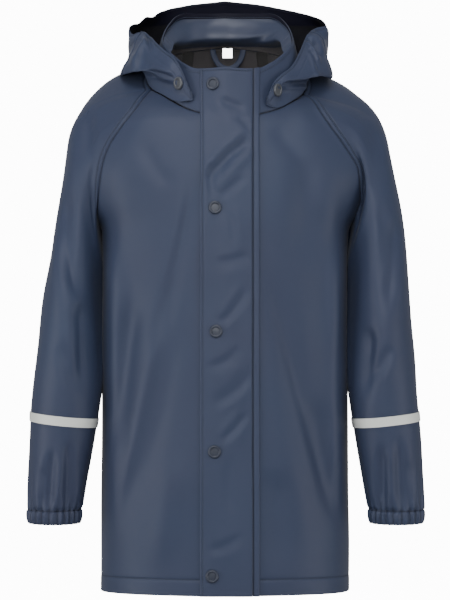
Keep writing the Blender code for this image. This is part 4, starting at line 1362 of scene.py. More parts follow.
FLAP_CREASES = table(
    Crease,
    (-7, -27, 8, -35, 25, -40, 4.5, -1.6, 0.0, 0.35), (-20, -32, -2, -44, 12, -62, 6.0, 0.9),
    (14, -50, 24, -57, 32, -63, 4.5, -1.2, 0.0, 0.3),
    (33, -76, 4, -96, -24, -130, 6.5, -3.8, 0.2, 0.5),
    (-14, -98, -17, -124, -13, -150, 4.5, -1.2, 0.0, 0.3),
    (26, -120, 10, -134, -6, -148, 5.0, -1.0, 0.0, 0.35),
    (2, -164, 10, -180, 9, -204, 4.5, -0.9, 0.0, 0.3),
    (31, -214, 10, -222, -14, -226, 6.5, -0.9, 0.2, 0.35),
    (31, -250, 12, -280, -8, -300, 5.5, -1.5, 0.0, 0.35),
    (18, -322, 2, -342, -24, -350, 6.0, -0.9, 0.2, 0.3),
    (31, -352, 14, -378, -20, -398, 7.0, -1.2, -0.2, 0.35),
    (28, -402, 12, -424, -6, -442, 5.0, -1.4, 0.0, 0.35),
    (12, -452, 4, -490, 10, -530, 8.0, -0.9, 0.2, 0.3),
    (24, -548, 0, -566, -22, -568, 6.0, -0.8, 0.0, 0.3),
)


class SnapSpot(NamedTuple):
    """Where a snap sits, seen from the front; outward turns its face to its side."""

    node: str
    x: float
    z: float
    outward: float = 0.0


FLAP_SNAPS = table(
    SnapSpot,
    ("snap_1", -14.4, -10.3),
    ("snap_2", -12.0, -158.9),
    ("snap_3", -10.8, -307.5),
    ("snap_4", -12.7, -452.2),
    ("snap_5", -15.5, -601.4),
)
FLAP_COVER = {Side.RIGHT: 26.0, Side.LEFT: 36.0}
HOOD_SNAPS = {
    Side.RIGHT: SnapSpot("hood_snap_right", -56.4, -10.0, 0.42),
    Side.LEFT: SnapSpot("hood_snap_left", 63.6, -18.4, 0.42),
}


@dataclass
class Torso:
    """The two fronts and the back, and what is sewn along them."""

    finishes: Finishes
    seam: Seam = Seam()
    front_width: float = 215.0
    skirt_length: float = 420.0
    yoke_length: float = 165.0
    pitch: float = 3.0
    back_pitch: float = 3.45
    yoke_pitch: float = 2.55
    hem: Groove = Groove(0.5, 1.3, 0.55, 0.7)
    hem_swell: float = 0.25
    under_flap: float = 2.4
    easing: int = 14
    fill: float = 12.0
    fill_at: float = 137.0
    fill_width: float = 15.0
    fill_heights: tuple[float, ...] = (-600.0, -190.0, 160.0, 60.0)
    fill_margin: float = 34.0
    fold_margin: float = 30.0
    cover_fade: float = 8.0

    def __post_init__(self) -> None:
        """Sets out the rows and columns, and drapes the four half panels."""
        front = marks(self.front_width, self.pitch, PLAIN_MARKS, EDGE_MARKS)
        back = marks(self.front_width, self.back_pitch, PLAIN_MARKS, EDGE_MARKS)
        self.rise = marks(self.skirt_length, self.pitch, HEM_MARKS, PLAIN_MARKS)
        self.w = marks(self.yoke_length, self.yoke_pitch, PLAIN_MARKS, EDGE_MARKS[:7])
        self.armpit_row = len(self.rise) - 1
        self.halves: dict[tuple[Side, bool], Sheet] = {}
        for side in Side:
            for is_back, u in ((False, front), (True, back)):
                grid = self._evened(Form.panel(side, is_back, u, self.rise, self.w))
                grid = grid if is_back else self._filled(grid)
                turn = side.value if is_back else -side.value
                self.halves[side, is_back] = Sheet(grid, turn)
        self._share_normals()
        for key, half in self.halves.items():
            self.halves[key] = self._draped(half, key[1])
        self._share_normals()

    def _evened(self, grid: Array) -> Array:
        """A half panel's grid, its bend at the armpit eased away from the side edge."""
        rows = np.arange(len(grid))
        reach = np.arange(-self.easing, self.easing + 1)
        weight = bell(reach, self.easing / 2)
        padded = np.pad(grid, ((self.easing, self.easing), (0, 0), (0, 0)), mode="edge")
        soft = sum(
            share * padded[self.easing + k : self.easing + k + len(grid)]
            for k, share in zip(reach, weight / weight.sum())
        )
        near = ease(2.0 - np.abs(rows - self.armpit_row) / self.easing)[:, None]
        inside = ease(Sheet(grid, 1).from_edge(Edge.LAST_COLUMN) / self.fold_margin)
        blend = (near * inside)[..., None]
        return grid * (1 - blend) + soft * blend

    def _filled(self, grid: Array) -> Array:
        """A front half's grid, filled out beside the sleeve."""
        flat = laid_flat(grid, View.FRONT)
        near = bell(np.abs(flat[..., 0]) - self.fill_at, self.fill_width)
        level = span(flat[..., 1], *self.fill_heights)
        inside = ease(Sheet(grid, 1).from_edge(Edge.LAST_COLUMN) / self.fill_margin)
        return grid - (self.fill * near * level * inside)[..., None] * (0.0, 1.0, 0.0)

    def _share_normals(self) -> None:
        """Makes neighbouring half panels face the same way where they meet."""
        for is_back in (False, True):
            right, left = self.halves[Side.RIGHT, is_back], self.halves[Side.LEFT, is_back]
            middle = unit(right.normals[:, 0] + left.normals[:, 0])
            right.normals[:, 0] = left.normals[:, 0] = middle
        for side in Side:
            front, back = self.halves[side, False], self.halves[side, True]
            rows = slice(0, self.armpit_row + 1)
            shared = unit(front.normals[rows, -1] + back.normals[rows, -1])
            front.normals[rows, -1] = back.normals[rows, -1] = shared

    def _draped(self, half: Sheet, is_back: bool) -> Sheet:
        """A half panel with its folds, which die out at its seams."""
        facing = np.abs(half.normals[..., 1]) * 1.6
        view = View.BACK if is_back else View.FRONT
        offset = crease_offset(half.points, BACK_FOLDS if is_back else BODY_FOLDS, view, facing)
        offset = offset + ripple(half.points, seed=5 + is_back, wave=120.0, height=0.8)
        edge = ease(half.from_edge(Edge.LAST_COLUMN) / self.fold_margin)
        if not is_back:
            edge = edge * ease(half.from_edge(Edge.FIRST_COLUMN) / self.fold_margin)
        return half.raised(offset * edge)

    def _finished(self, sheet: Sheet, edges: Sequence[Edge]) -> tuple[Sheet, Array]:
        """A panel with its seams and hem sunk in, and its painted shade along them.

        Args:
            sheet: The draped panel.
            edges: Its raglan and side edges.

        Returns:
            The panel and its painted shade at each point.
        """
        hem = sheet.from_edge(Edge.FIRST_ROW)
        neck = sheet.from_edge(Edge.LAST_ROW)
        swell = self.hem_swell * ease((HEM_WIDTH - hem) / 3)
        offset = self.hem.sunk(hem - HEM_WIDTH) + swell + self.seam.line.sunk(neck)
        dark = self.hem.dark(hem - HEM_WIDTH) + self.seam.line.dark(neck)
        away = ease(np.abs(sheet.points[..., 2] - ARMPIT_Z) / ARMPIT_FADE)
        for edge in edges:
            far = sheet.from_edge(edge)
            offset = offset + self.seam.line.sunk(far) * away
            dark = dark + self.seam.line.dark(far)
        finished = sheet.raised(offset)
        for end in (0, -1):
            finished.normals[:, end] = sheet.normals[:, end]
        return finished, dark

    def build(self, stitches: Stitching) -> None:
        """Makes the fronts and the back.

        Args:
            stitches: Where the hem's rows go.
        """
        for side in Side:
            half = self.halves[side, False]
            sheet, dark = self._finished(half, [Edge.LAST_COLUMN])
            covered = FLAP_COVER[side] - np.abs(sheet.points[..., 0])
            sunk = -self.under_flap * ease(covered / self.cover_fade)
            sheet = Sheet(sheet.points + half.normals * sunk[..., None], sheet.turn)
            sheet.normals[:, -1] = half.normals[:, -1]
            edges = (Edge.FIRST_ROW, Edge.FIRST_COLUMN)
            self._panel("front_" + side.word, sheet, dark, edges, stitches)
        right, left = self.halves[Side.RIGHT, True], self.halves[Side.LEFT, True]
        whole = Sheet(np.concatenate([right.points[:, :0:-1], left.points], axis=1), 1)
        whole.normals = np.concatenate([right.normals[:, :0:-1], left.normals], axis=1)
        sheet, dark = self._finished(whole, [Edge.FIRST_COLUMN, Edge.LAST_COLUMN])
        self._panel("back", sheet, dark, (Edge.FIRST_ROW,), stitches)

    def _panel(
        self,
        node: str,
        sheet: Sheet,
        dark: Array,
        free_edges: tuple[Edge, ...],
        stitches: Stitching,
    ) -> None:
        """Makes one panel with its turned hem.

        Args:
            node: The CAD node that it stands for.
            sheet: Its face.
            dark: Its painted shade along seams and hem.
            free_edges: Its edges that aren't sewn to another piece.
            stitches: Where the hem's row goes.
        """
        Cloth(
            node + "_shell",
            sheet,
            self.finishes.coated,
            self.finishes.knit,
            free_edges=free_edges,
            turned={Edge.FIRST_ROW: HEM_WIDTH},
            seam=dark,
        ).sewn(node)
        stitches.add(*sheet.line_at(Edge.FIRST_ROW, HEM_WIDTH))


@dataclass
class Sleeve:
    """A raglan sleeve with its tape and its elastic cuff."""

    side: Side
    torso: Torso
    finishes: Finishes
    seam: Seam = Seam()
    neck_steps: int = 26
    corner_reach: float = 75.0
    armpit_reach: float = 85.0
    seam_rows: int = 16
    seam_share: float = 0.11
    cap_rows: int = 34
    cap_swell: float = 0.3
    fold_fade: float = 40.0
    held_at: float = 146.0
    held_fade: float = 22.0
    held_share: float = 0.1
    gathers: int = 22
    gather_depth: float = 2.5
    gather_run: float = 10.0
    trough_shade_run: float = 7.0
    stitch_end: float = 25.0
    drags: int = 9
    drag_depth: float = 2.8
    drag_run: float = 36.0
    end: Groove = Groove(0.7, 1.3, 0.7, 0.9)
    casing: Groove = Groove(0.8, 1.2, 0.8, 0.9)
    cuff_bottom: float = -532.6
    cuff_tucked: tuple[float, ...] = (-0.16, -0.04)
    cuff_inset: float = 1.7
    cuff_count: int = 330
    tape_lift: float = 0.35
    tape_thickness: float = 0.8
    tuck: float = 17.0
    tuck_at: float = 147.0
    tuck_width: float = 24.0
    tuck_heights: tuple[float, ...] = (-420.0, -105.0, 90.0, 70.0)
    tuck_margin: float = 90.0

    def __post_init__(self) -> None:
        """Drapes the sleeve from the raglan seam to the cuff seam."""
        ring, away, facing, near = self._seam_ring()
        self.angles = self._ring_angles(ring)
        ovals = [Form.sleeve_ring(self.side, s, self.angles) for s in SLEEVE_STATIONS]
        rings = np.array([ring, *ovals])
        headings = np.empty_like(rings)
        headings[0] = away
        headings[1] = unit(rings[2] - rings[1])
        headings[2:-1] = unit(rings[3:] - rings[1:-2])
        headings[-1] = unit(rings[-1] - rings[-2])
        seam_steps = np.linspace(0, self.seam_share, self.seam_rows)[:-1]
        cap = np.concatenate([seam_steps, np.linspace(self.seam_share, 1, self.cap_rows)[:-1]])
        rows, stations = [], []
        for k, steps in enumerate((cap, *(np.arange(n) / n for n in SLEEVE_STEPS))):
            length = np.linalg.norm(rings[k + 1] - rings[k], axis=1)[:, None]
            if k == 0:
                over = np.maximum(np.cos(self.angles), 0.0)[:, None]
                length = length * (1 + self.cap_swell * over)
            for t in steps:
                leave, arrive = length * headings[k], length * headings[k + 1]
                rows.append(hermite(t, rings[k], rings[k + 1], leave, arrive))
                stations.append(k + t - 1)
        rows.append(rings[-1])
        self.stations = np.array([*stations, len(SLEEVE_STATIONS) - 1.0])
        sheet = Sheet(self._tucked(np.array(rows)), -self.side.value, True)
        blend = near[:, None]
        sheet.normals[0] = unit(sheet.normals[0] * blend + facing * (1 - blend))
        self.sheet = self._draped(sheet, sheet.normals[0].copy())

    def _tucked(self, points: Array) -> Array:
        """The sleeve's points, its inner front drawn back beside the body."""
        flat = laid_flat(points, View.FRONT)
        inner = bell(np.abs(flat[..., 0]) - self.tuck_at, self.tuck_width)
        level = span(flat[..., 1], *self.tuck_heights)
        front = np.clip(np.sin(self.angles) * 1.5 + 0.3, 0.0, 1.0)
        from_seam = Sheet(points, 1, True).from_edge(Edge.FIRST_ROW)
        begun = ease((from_seam - 3.0) / self.tuck_margin)
        return points + (self.tuck * inner * level * front * begun)[..., None] * (0.0, 1.0, 0.0)

    def _seam_ring(self) -> tuple[Array, Array, Array, Array]:
        """The sleeve's first ring, taken from the edges of the panels.

        Returns:
            Its points, the sleeve's headings there, the panels' normals, and how near
            each point is to the armpit.
        """
        rows = slice(self.torso.armpit_row, None)
        front = self.torso.halves[self.side, False].part(rows, slice(None))
        back = self.torso.halves[self.side, True].part(rows, slice(None))
        front_p, front_n = front.points[::-1], front.normals[::-1]
        steps = np.linspace(NECK_FRONT_CORNER, NECK_BACK_CORNER, self.neck_steps + 1)
        neck = Form.neck(self.side, steps[1:-1])[::-1]
        ring = np.concatenate([front_p[:, -1], back.points[1:, -1], neck])
        level = np.array([self.side.value, 0.0, -SHOULDER_SLOPE[self.side]])
        headings = []
        for half in (front, back):
            across = unit(half.points[:, -1] - half.points[:, -8])
            share = ease(half.from_edge(Edge.LAST_ROW)[:, -1:] / self.corner_reach)
            headings.append(unit(level) * (1 - share) + across * share)
        away = np.concatenate([headings[0][::-1], headings[1][1:], np.tile(level, (len(neck), 1))])
        near = 1 - ease((ring[:, 2] - ARMPIT_Z) / self.armpit_reach)
        near[-len(neck) :] = 0
        down = np.array([0.0, -0.25, -1.0])
        away = unit(away) * (1 - near[:, None]) + down * near[:, None]
        up = np.tile([0.0, 0.0, 1.0], (len(neck), 1))
        facing = np.concatenate([front_n[:, -1], back.normals[1:, -1], up])
        self.front_count = len(front_p) - 1
        return ring, unit(away), facing, near

    def _ring_angles(self, ring: Array) -> Array:
        """Angle round the sleeve of each seam point: 0 at the top, pi at the armpit."""
        gaps = np.linalg.norm(np.roll(ring, -1, axis=0) - ring, axis=1)
        start = gaps[-self.neck_steps :].sum() / 2
        along = start + np.concatenate([[0.0], np.cumsum(gaps[:-1])])
        armpit = along[self.front_count]
        rest = math.pi * (along - armpit) / (gaps.sum() - armpit)
        return np.where(along <= armpit, math.pi * along / armpit, math.pi + rest)

    def _gather(self, angles: Array) -> Array:
        """Depth of the cuff's gathers round the sleeve, from 0 to 1."""
        shift = 0.8 * np.sin(3 * angles) + 0.5 * np.sin(5 * angles + 1.3)
        return 0.5 + 0.5 * np.cos(self.gathers * angles + shift)

    def _draped(self, sheet: Sheet, seam_facing: Array) -> Sheet:
        """The sleeve with folds, seam, and the gathers that run up from the cuff.

        Args:
            sheet: The plain sleeve.
            seam_facing: Its normals at the raglan seam.

        Returns:
            The draped sleeve.
        """
        fade = ease(sheet.from_edge(Edge.FIRST_ROW) / self.fold_fade)
        facing = sheet.normals[..., 1]
        front = crease_offset(sheet.points, SLEEVE_FRONT_FOLDS, View.FRONT, -facing * 1.5)
        back = crease_offset(sheet.points, SLEEVE_BACK_FOLDS, View.BACK, facing * 1.5)
        uneven = ripple(sheet.points, seed=SLEEVE_SEEDS[self.side], wave=80.0, height=0.7)
        free = ease((np.abs(sheet.points[..., 0]) - self.held_at) / self.held_fade)
        loose = self.held_share + (1 - self.held_share) * free
        offset = (front + back + uneven) * fade * loose
        up = sheet.from_edge(Edge.LAST_ROW)
        wave = self._gather(self.angles)[None]
        shift = 1.1 * np.sin(2 * self.angles)
        drag = self.drag_depth * (0.25 - 0.5 * np.cos(self.drags * self.angles + shift))
        offset = offset + self.gather_depth * (0.6 - wave) * np.exp(-up / self.gather_run)
        offset = offset + drag * np.exp(-up / self.drag_run) * ease(up / 6.0)
        swollen = sheet.raised(offset)
        far = swollen.from_edge(Edge.FIRST_ROW)
        cuff = swollen.from_edge(Edge.LAST_ROW)
        over_armpit = sheet.points[:1, :, 2] - ARMPIT_Z
        sunk = self.seam.offset(far) * ease(over_armpit / ARMPIT_FADE) + self.end.sunk(cuff)
        swollen.normals[0] = seam_facing
        finished = swollen.raised(sunk)
        finished.normals[0] = seam_facing
        # painted shade along the raglan seam and the cuff seam, and in the troughs of the gathers
        self.dark = self.seam.dark(far) * ease(over_armpit / self.fold_fade) + self.end.dark(cuff)
        gather_trough_shade = 0.5 * np.clip(wave * 4 - 3, 0, 1) * np.exp(-cuff / self.trough_shade_run)
        self.dark = self.dark + gather_trough_shade
        return finished

    def build(self, stitches: Stitching) -> None:
        """Makes the sleeve, its tape and its cuff.

        Args:
            stitches: Where the topstitching goes.
        """
        node = "sleeve_" + self.side.word
        shell = (node + "_shell", self.sheet, self.finishes.coated, self.finishes.knit)
        Cloth(*shell, seam=self.dark).sewn(node)
        line, facing = self.sheet.line_at(Edge.FIRST_ROW, self.seam.stitch_at)
        shown = line[:, 2] > ARMPIT_Z + self.stitch_end
        shown[-self.neck_steps + 1 :] = False
        for part in (slice(0, self.front_count), slice(self.front_count, None)):
            stitches.add(line[part][shown[part]], facing[part][shown[part]])
        self._tape()
        self._cuff()

    def _tape(self) -> None:
        """Makes the reflective tape, laid on the sleeve all round."""
        first = int(np.searchsorted(self.stations, TAPE_STATION))
        last = int(np.searchsorted(self.stations, TAPE_STATION + 1))
        rows = np.linspace(first, last, 11)
        low = np.floor(rows).astype(int)
        share = (rows - low)[:, None, None]
        high = np.minimum(low + 1, len(self.stations) - 1)
        points = self.sheet.points[low] * (1 - share) + self.sheet.points[high] * share
        normals = self.sheet.normals[low] * (1 - share) + self.sheet.normals[high] * share
        lift = self.tape_lift + self.tape_thickness
        tape = Sheet(points + unit(normals) * lift, self.sheet.turn, True)
        node = "tape_" + self.side.word
        Cloth(
            node + "_band",
            tape,
            self.finishes.tape,
            self.finishes.knit,
            self.tape_thickness,
            (Edge.FIRST_ROW, Edge.LAST_ROW),
        ).sewn(
            node,
        )

    def _cuff(self) -> None:
        """Makes the gathered casing at the sleeve's end."""
        last = SLEEVE_STATIONS[-1]
        top = last.outer_z
        shown = marks(top - self.cuff_bottom, 1.5, (0.0, 0.5, 1.0, 2.0), FREE_MARKS)
        shares = np.concatenate([self.cuff_tucked, shown])
        angles = np.arange(self.cuff_count) * 2 * math.pi / self.cuff_count
        wave = self._gather(angles)
        rows = []
        for share in shares:
            z = top + (self.cuff_bottom - top) * share
            ring = Form.sleeve_ring(self.side, last._replace(outer_z=z, inner_z=z), angles)
            out = unit(ring - ring.mean(axis=0))
            swell = math.sin(math.pi * min(1.0, max(0.0, share) * 1.05)) ** 0.7
            swell -= self.cuff_inset if share < 0 else 0.0
            depth = self.gather_depth * (wave - 0.6) * (1.05 - 0.2 * share)
            rows.append(ring + out * (swell - depth - 1.2 * share**3)[:, None])
        sheet = Sheet(np.array(rows), -self.side.value, True)
        far = sheet.from_edge(Edge.FIRST_ROW)
        seam_row = len(self.cuff_tucked)
        far = np.abs(far - far[seam_row : seam_row + 1])
        sheet = sheet.raised(self.casing.sunk(far))
        node = "cuff_" + self.side.word
        Cloth(
            node + "_casing",
            sheet,
            self.finishes.coated,
            self.finishes.knit,
            free_edges=(Edge.LAST_ROW,),
            # painted shade along the casing seam and in the troughs of the gathers
            seam=self.casing.dark(far) + 0.55 * np.clip(wave * 4 - 3, 0, 1),
        ).sewn(node)


@dataclass
class Collar:
    """Stand collar, faced inside with the same coated cloth."""

    finishes: Finishes
    height: float = 50.0
    stitch_at: float = 5.0
    base: Groove = Groove(0.9, 1.3, 0.9, 0.8)
    stitch: Groove = Groove(0.35, 0.9, 0.5, 0.6)
    inside_swell: float = 14.0
    front_reach: float = 34.0
    knit_shares: tuple[float, float] = (0.02, 0.8)
    roll_rows: int = 14
    # share of the inside's height below the top edge: left unswollen, and given the darkened
    # facing as painted shade
    margin: float = 0.2

    def _rises(self) -> Array:
        """The rise of each row of the collar."""
        return marks(self.height, 1.7, EDGE_MARKS[:6], FREE_MARKS)

    def sheet(self) -> Sheet:
        """The collar's face, from one front end round the back to the other."""
        rises = self._rises()
        angles = marks(180.0, 1.8, (0.0, 0.4, 1.2, 2.5), (0.0, 1.0)) * 180.0
        rise_grid, angle_grid = np.meshgrid(rises, angles, indexing="ij")
        right = Form.collar(Side.RIGHT, angle_grid, rise_grid)
        left = Form.collar(Side.LEFT, angle_grid, rise_grid)
        return Sheet(np.concatenate([right, left[:, -2::-1]], axis=1), 1)

    def build(self, stitches: Stitching) -> None:
        """Makes the collar and its edge stitching.

        Args:
            stitches: Where the stitching goes.
        """
        sheet = self.sheet()
        top = sheet.from_edge(Edge.LAST_ROW) - self.stitch_at
        base = sheet.from_edge(Edge.FIRST_ROW)
        uneven = ripple(sheet.points, seed=21, wave=45.0, height=0.45)
        sheet = sheet.raised(uneven + self.base.sunk(base) + self.stitch.sunk(top))
        piece = Cloth(
            "collar_shell",
            sheet,
            self.finishes.coated,
            self.finishes.roll,
            thickness=COLLAR_THICKNESS,
            free_edges=(Edge.LAST_ROW, Edge.FIRST_COLUMN, Edge.LAST_COLUMN),
            # painted shade along the base seam and the edge stitching
            seam=self.base.dark(base) + self.stitch.dark(top),
        ).sewn("collar")
        self._roll_facing(piece, sheet)
        line, normal = sheet.line_at(Edge.LAST_ROW, self.stitch_at)
        stitches.add(line, normal)
        inside = line - normal * COLLAR_THICKNESS
        stitches.add(inside, -normal, 0.35)

    def _roll_facing(self, piece: bpy.types.Object, sheet: Sheet) -> None:
        """Rolls the facing at the back neck inwards, over the knit that shows below it, and paints
        shade on its top margin.

        Args:
            piece: The collar.
            sheet: Its face.
        """
        rows, columns = sheet.points.shape[:2]
        mesh = piece.data
        co = np.empty(len(mesh.vertices) * 3, np.float32)
        mesh.vertices.foreach_get("co", co)
        inner = co.reshape(-1, 3)[rows * columns :].reshape(rows, columns, 3) / MM
        behind = ease((sheet.points[0, :, 1] + self.front_reach) / self.front_reach)
        roll_x = [line.x for line in ROLL_LINE]
        low = smooth_curve(roll_x, [line.z for line in ROLL_LINE], inner[rows // 2, :, 0])
        share = (low - inner[0, :, 2]) / (inner[-1, :, 2] - inner[0, :, 2])
        least, most = self.knit_shares
        share = np.clip(share, least, most) * behind + (1 - behind) * least
        k = self.roll_rows
        rise = self._rises()
        above = np.clip((rise - rise[k]) / (1 - rise[k]), 0.0, 1.0)[:, None]
        places = share * np.minimum(rise / rise[k], 1.0)[:, None] ** 0.8 + (1 - share) * above
        moved = np.empty_like(inner)
        facing = np.empty_like(inner)
        for c in range(columns):
            for axis in range(3):
                moved[:, c, axis] = np.interp(places[:, c], rise, inner[:, c, axis])
                facing[:, c, axis] = np.interp(places[:, c], rise, sheet.normals[:, c, axis])
        down = np.clip((1 - above - self.margin) / (1 - self.margin), 0.0, 1.0)
        swell = self.inside_swell * behind * np.sin(math.pi * down**1.8)
        uneven = ripple(moved, seed=23, wave=38.0, height=0.7)
        swell = swell + behind * uneven * np.sin(math.pi * above)
        crease = crease_offset(moved, ROLL_CREASES, View.FRONT, np.ones((rows, columns)))
        swell = swell + behind * crease * ease(above * 4.0)
        moved -= unit(facing) * swell[..., None]
        co.reshape(-1, 3)[rows * columns :] = (moved * MM).reshape(-1, 3)
        mesh.vertices.foreach_set("co", co)
        slots = np.empty(len(mesh.polygons), np.int32)
        mesh.polygons.foreach_get("material_index", slots)
        quads = (rows - 1) * (columns - 1)
        knit = slots[quads : 2 * quads].reshape(rows - 1, columns - 1)
        knit[:k, behind[:-1] > 0.5] = 2
        # the top margin gets the darkened facing cloth: painted shade
        knit[above[:-1, 0] > 1 - self.margin] = 3
        slots[quads : 2 * quads] = knit.ravel()
        mesh.materials.append(self.finishes.knit)
        mesh.materials.append(self.finishes.facing)
        mesh.polygons.foreach_set("material_index", slots)
        mesh.update()


@dataclass
class StormFlap:
    """The flap over the front opening, and the strip beside its seam."""

    torso: Torso
    collar: Collar
    finishes: Finishes
    left_edge: float = -28.5
    right_edge: float = 31.8
    strip_edge: float = 39.4
    stitch_at: float = 3.2
    stitch: Groove = Groove(0.5, 0.9, 0.55, 0.6)
    seam: Groove = Groove(0.8, 1.3, 0.9, 0.9)
    strip_seam: Groove = Groove(0.8, 1.2, 0.9, 0.8)
    lift: float = 0.9
    stiffness: int = 7
    length: float = 640.0

    def __post_init__(self) -> None:
        """Takes the collar's face once, and sets out the flap's rows."""
        self.collar_sheet = self.collar.sheet()
        self.places = marks(self.length, 2.5, HEM_MARKS, FREE_MARKS)

    def _line(self, x: float) -> Array:
        """The cloth under the flap at a distance from the centre line, hem to collar top."""
        side = Side.RIGHT if x < 0 else Side.LEFT
        collar = self.collar_sheet.points
        middle = collar.shape[1] // 2
        half = collar[:, : middle + 1] if x < 0 else collar[:, :middle:-1]
        line = []
        for row in [*self.torso.halves[side, False].points, *half[2:, :36]]:
            y, z = (np.interp(abs(x), np.abs(row[:, 0]), row[:, axis]) for axis in (1, 2))
            line.append((x, y, z))
        return np.array(line)

    def _evened(self, line: Array) -> Array:
        """A line respaced along its length, its bends eased over this flap's stiffness."""
        run = run_of(line)
        even = np.linspace(0.0, run[-1], int(run[-1]) + 1)
        reach = np.arange(-3 * self.stiffness, 3 * self.stiffness + 1)
        weight = bell(reach, self.stiffness * 1.4)
        pad = len(reach) // 2
        at = run[-1] * self.places
        result = [np.full(len(at), line[0, 0])]
        for values in (line[:, 1], line[:, 2]):
            plain = np.interp(even, run, values)
            padded = np.pad(plain, pad, mode="reflect", reflect_type="odd")
            soft = np.convolve(padded, weight / weight.sum(), mode="valid")
            result.append(np.interp(at, even, soft))
        return np.stack(result, axis=-1)

    def sheet(self, start: float, end: float) -> Sheet:
        """The flap's face between two distances from the centre line."""
        width = end - start
        near = FREE_MARKS if width > 20 else FREE_MARKS[:6]
        x_values = start + width * marks(width, 2.2, near, near)
        grid = np.array([self._evened(self._line(x)) for x in x_values])
        return Sheet(grid.transpose(1, 0, 2), -1).raised(self.lift + FLAP_THICKNESS)

    def build(self, stitches: Stitching) -> Sheet:
        """Makes the flap and the strip.

        Args:
            stitches: Where the edge stitching goes.

        Returns:
            The flap's face, for the snaps to sit on.
        """
        flap = self.sheet(self.left_edge, self.right_edge)
        offset = crease_offset(flap.points, FLAP_CREASES, View.FRONT, -flap.normals[..., 1])
        offset = offset + ripple(flap.points, seed=31, wave=55.0, height=0.45)
        # painted shade along the edge stitching, the seam and the strip's seam
        dark = np.zeros(flap.points.shape[:2])
        for edge in (Edge.FIRST_COLUMN, Edge.LAST_ROW):
            far = flap.from_edge(edge) - self.stitch_at
            offset = offset + self.stitch.sunk(far)
            dark = dark + self.stitch.dark(far)
        far = flap.from_edge(Edge.LAST_COLUMN)
        flap = flap.raised(offset + self.seam.sunk(far))
        self._piece("storm_flap", flap, dark + self.seam.dark(far), 0.0605, 0.0384)
        for edge in (Edge.FIRST_COLUMN, Edge.LAST_ROW, Edge.LAST_COLUMN):
            at = self.stitch_at / 2 if edge is Edge.LAST_COLUMN else self.stitch_at
            stitches.add(*flap.line_at(edge, at))
        strip = self.sheet(self.right_edge + 0.3, self.strip_edge)
        near = strip.from_edge(Edge.FIRST_COLUMN)
        strip = strip.raised(self.strip_seam.sunk(near))
        self._piece("flap_strip", strip, self.strip_seam.dark(near), 0.0105, 0.0048)
        return flap

    def _piece(self, node: str, sheet: Sheet, dark: Array, width: float, area: float) -> None:
        """Makes one of the two pieces.

        Args:
            node: The CAD node that it stands for.
            sheet: Its face.
            dark: Its painted shade along seams and stitching.
            width: Its cut width in metres; not used.
            area: Its cut area in square metres; not used.
        """
        joined = Edge.LAST_COLUMN if node == "storm_flap" else Edge.FIRST_COLUMN
        Cloth(
            node + "_shell",
            sheet,
            self.finishes.coated,
            self.finishes.coated,
            thickness=FLAP_THICKNESS,
            free_edges=tuple(edge for edge in Edge if edge is not joined),
            seam=dark,
        ).sewn(node)


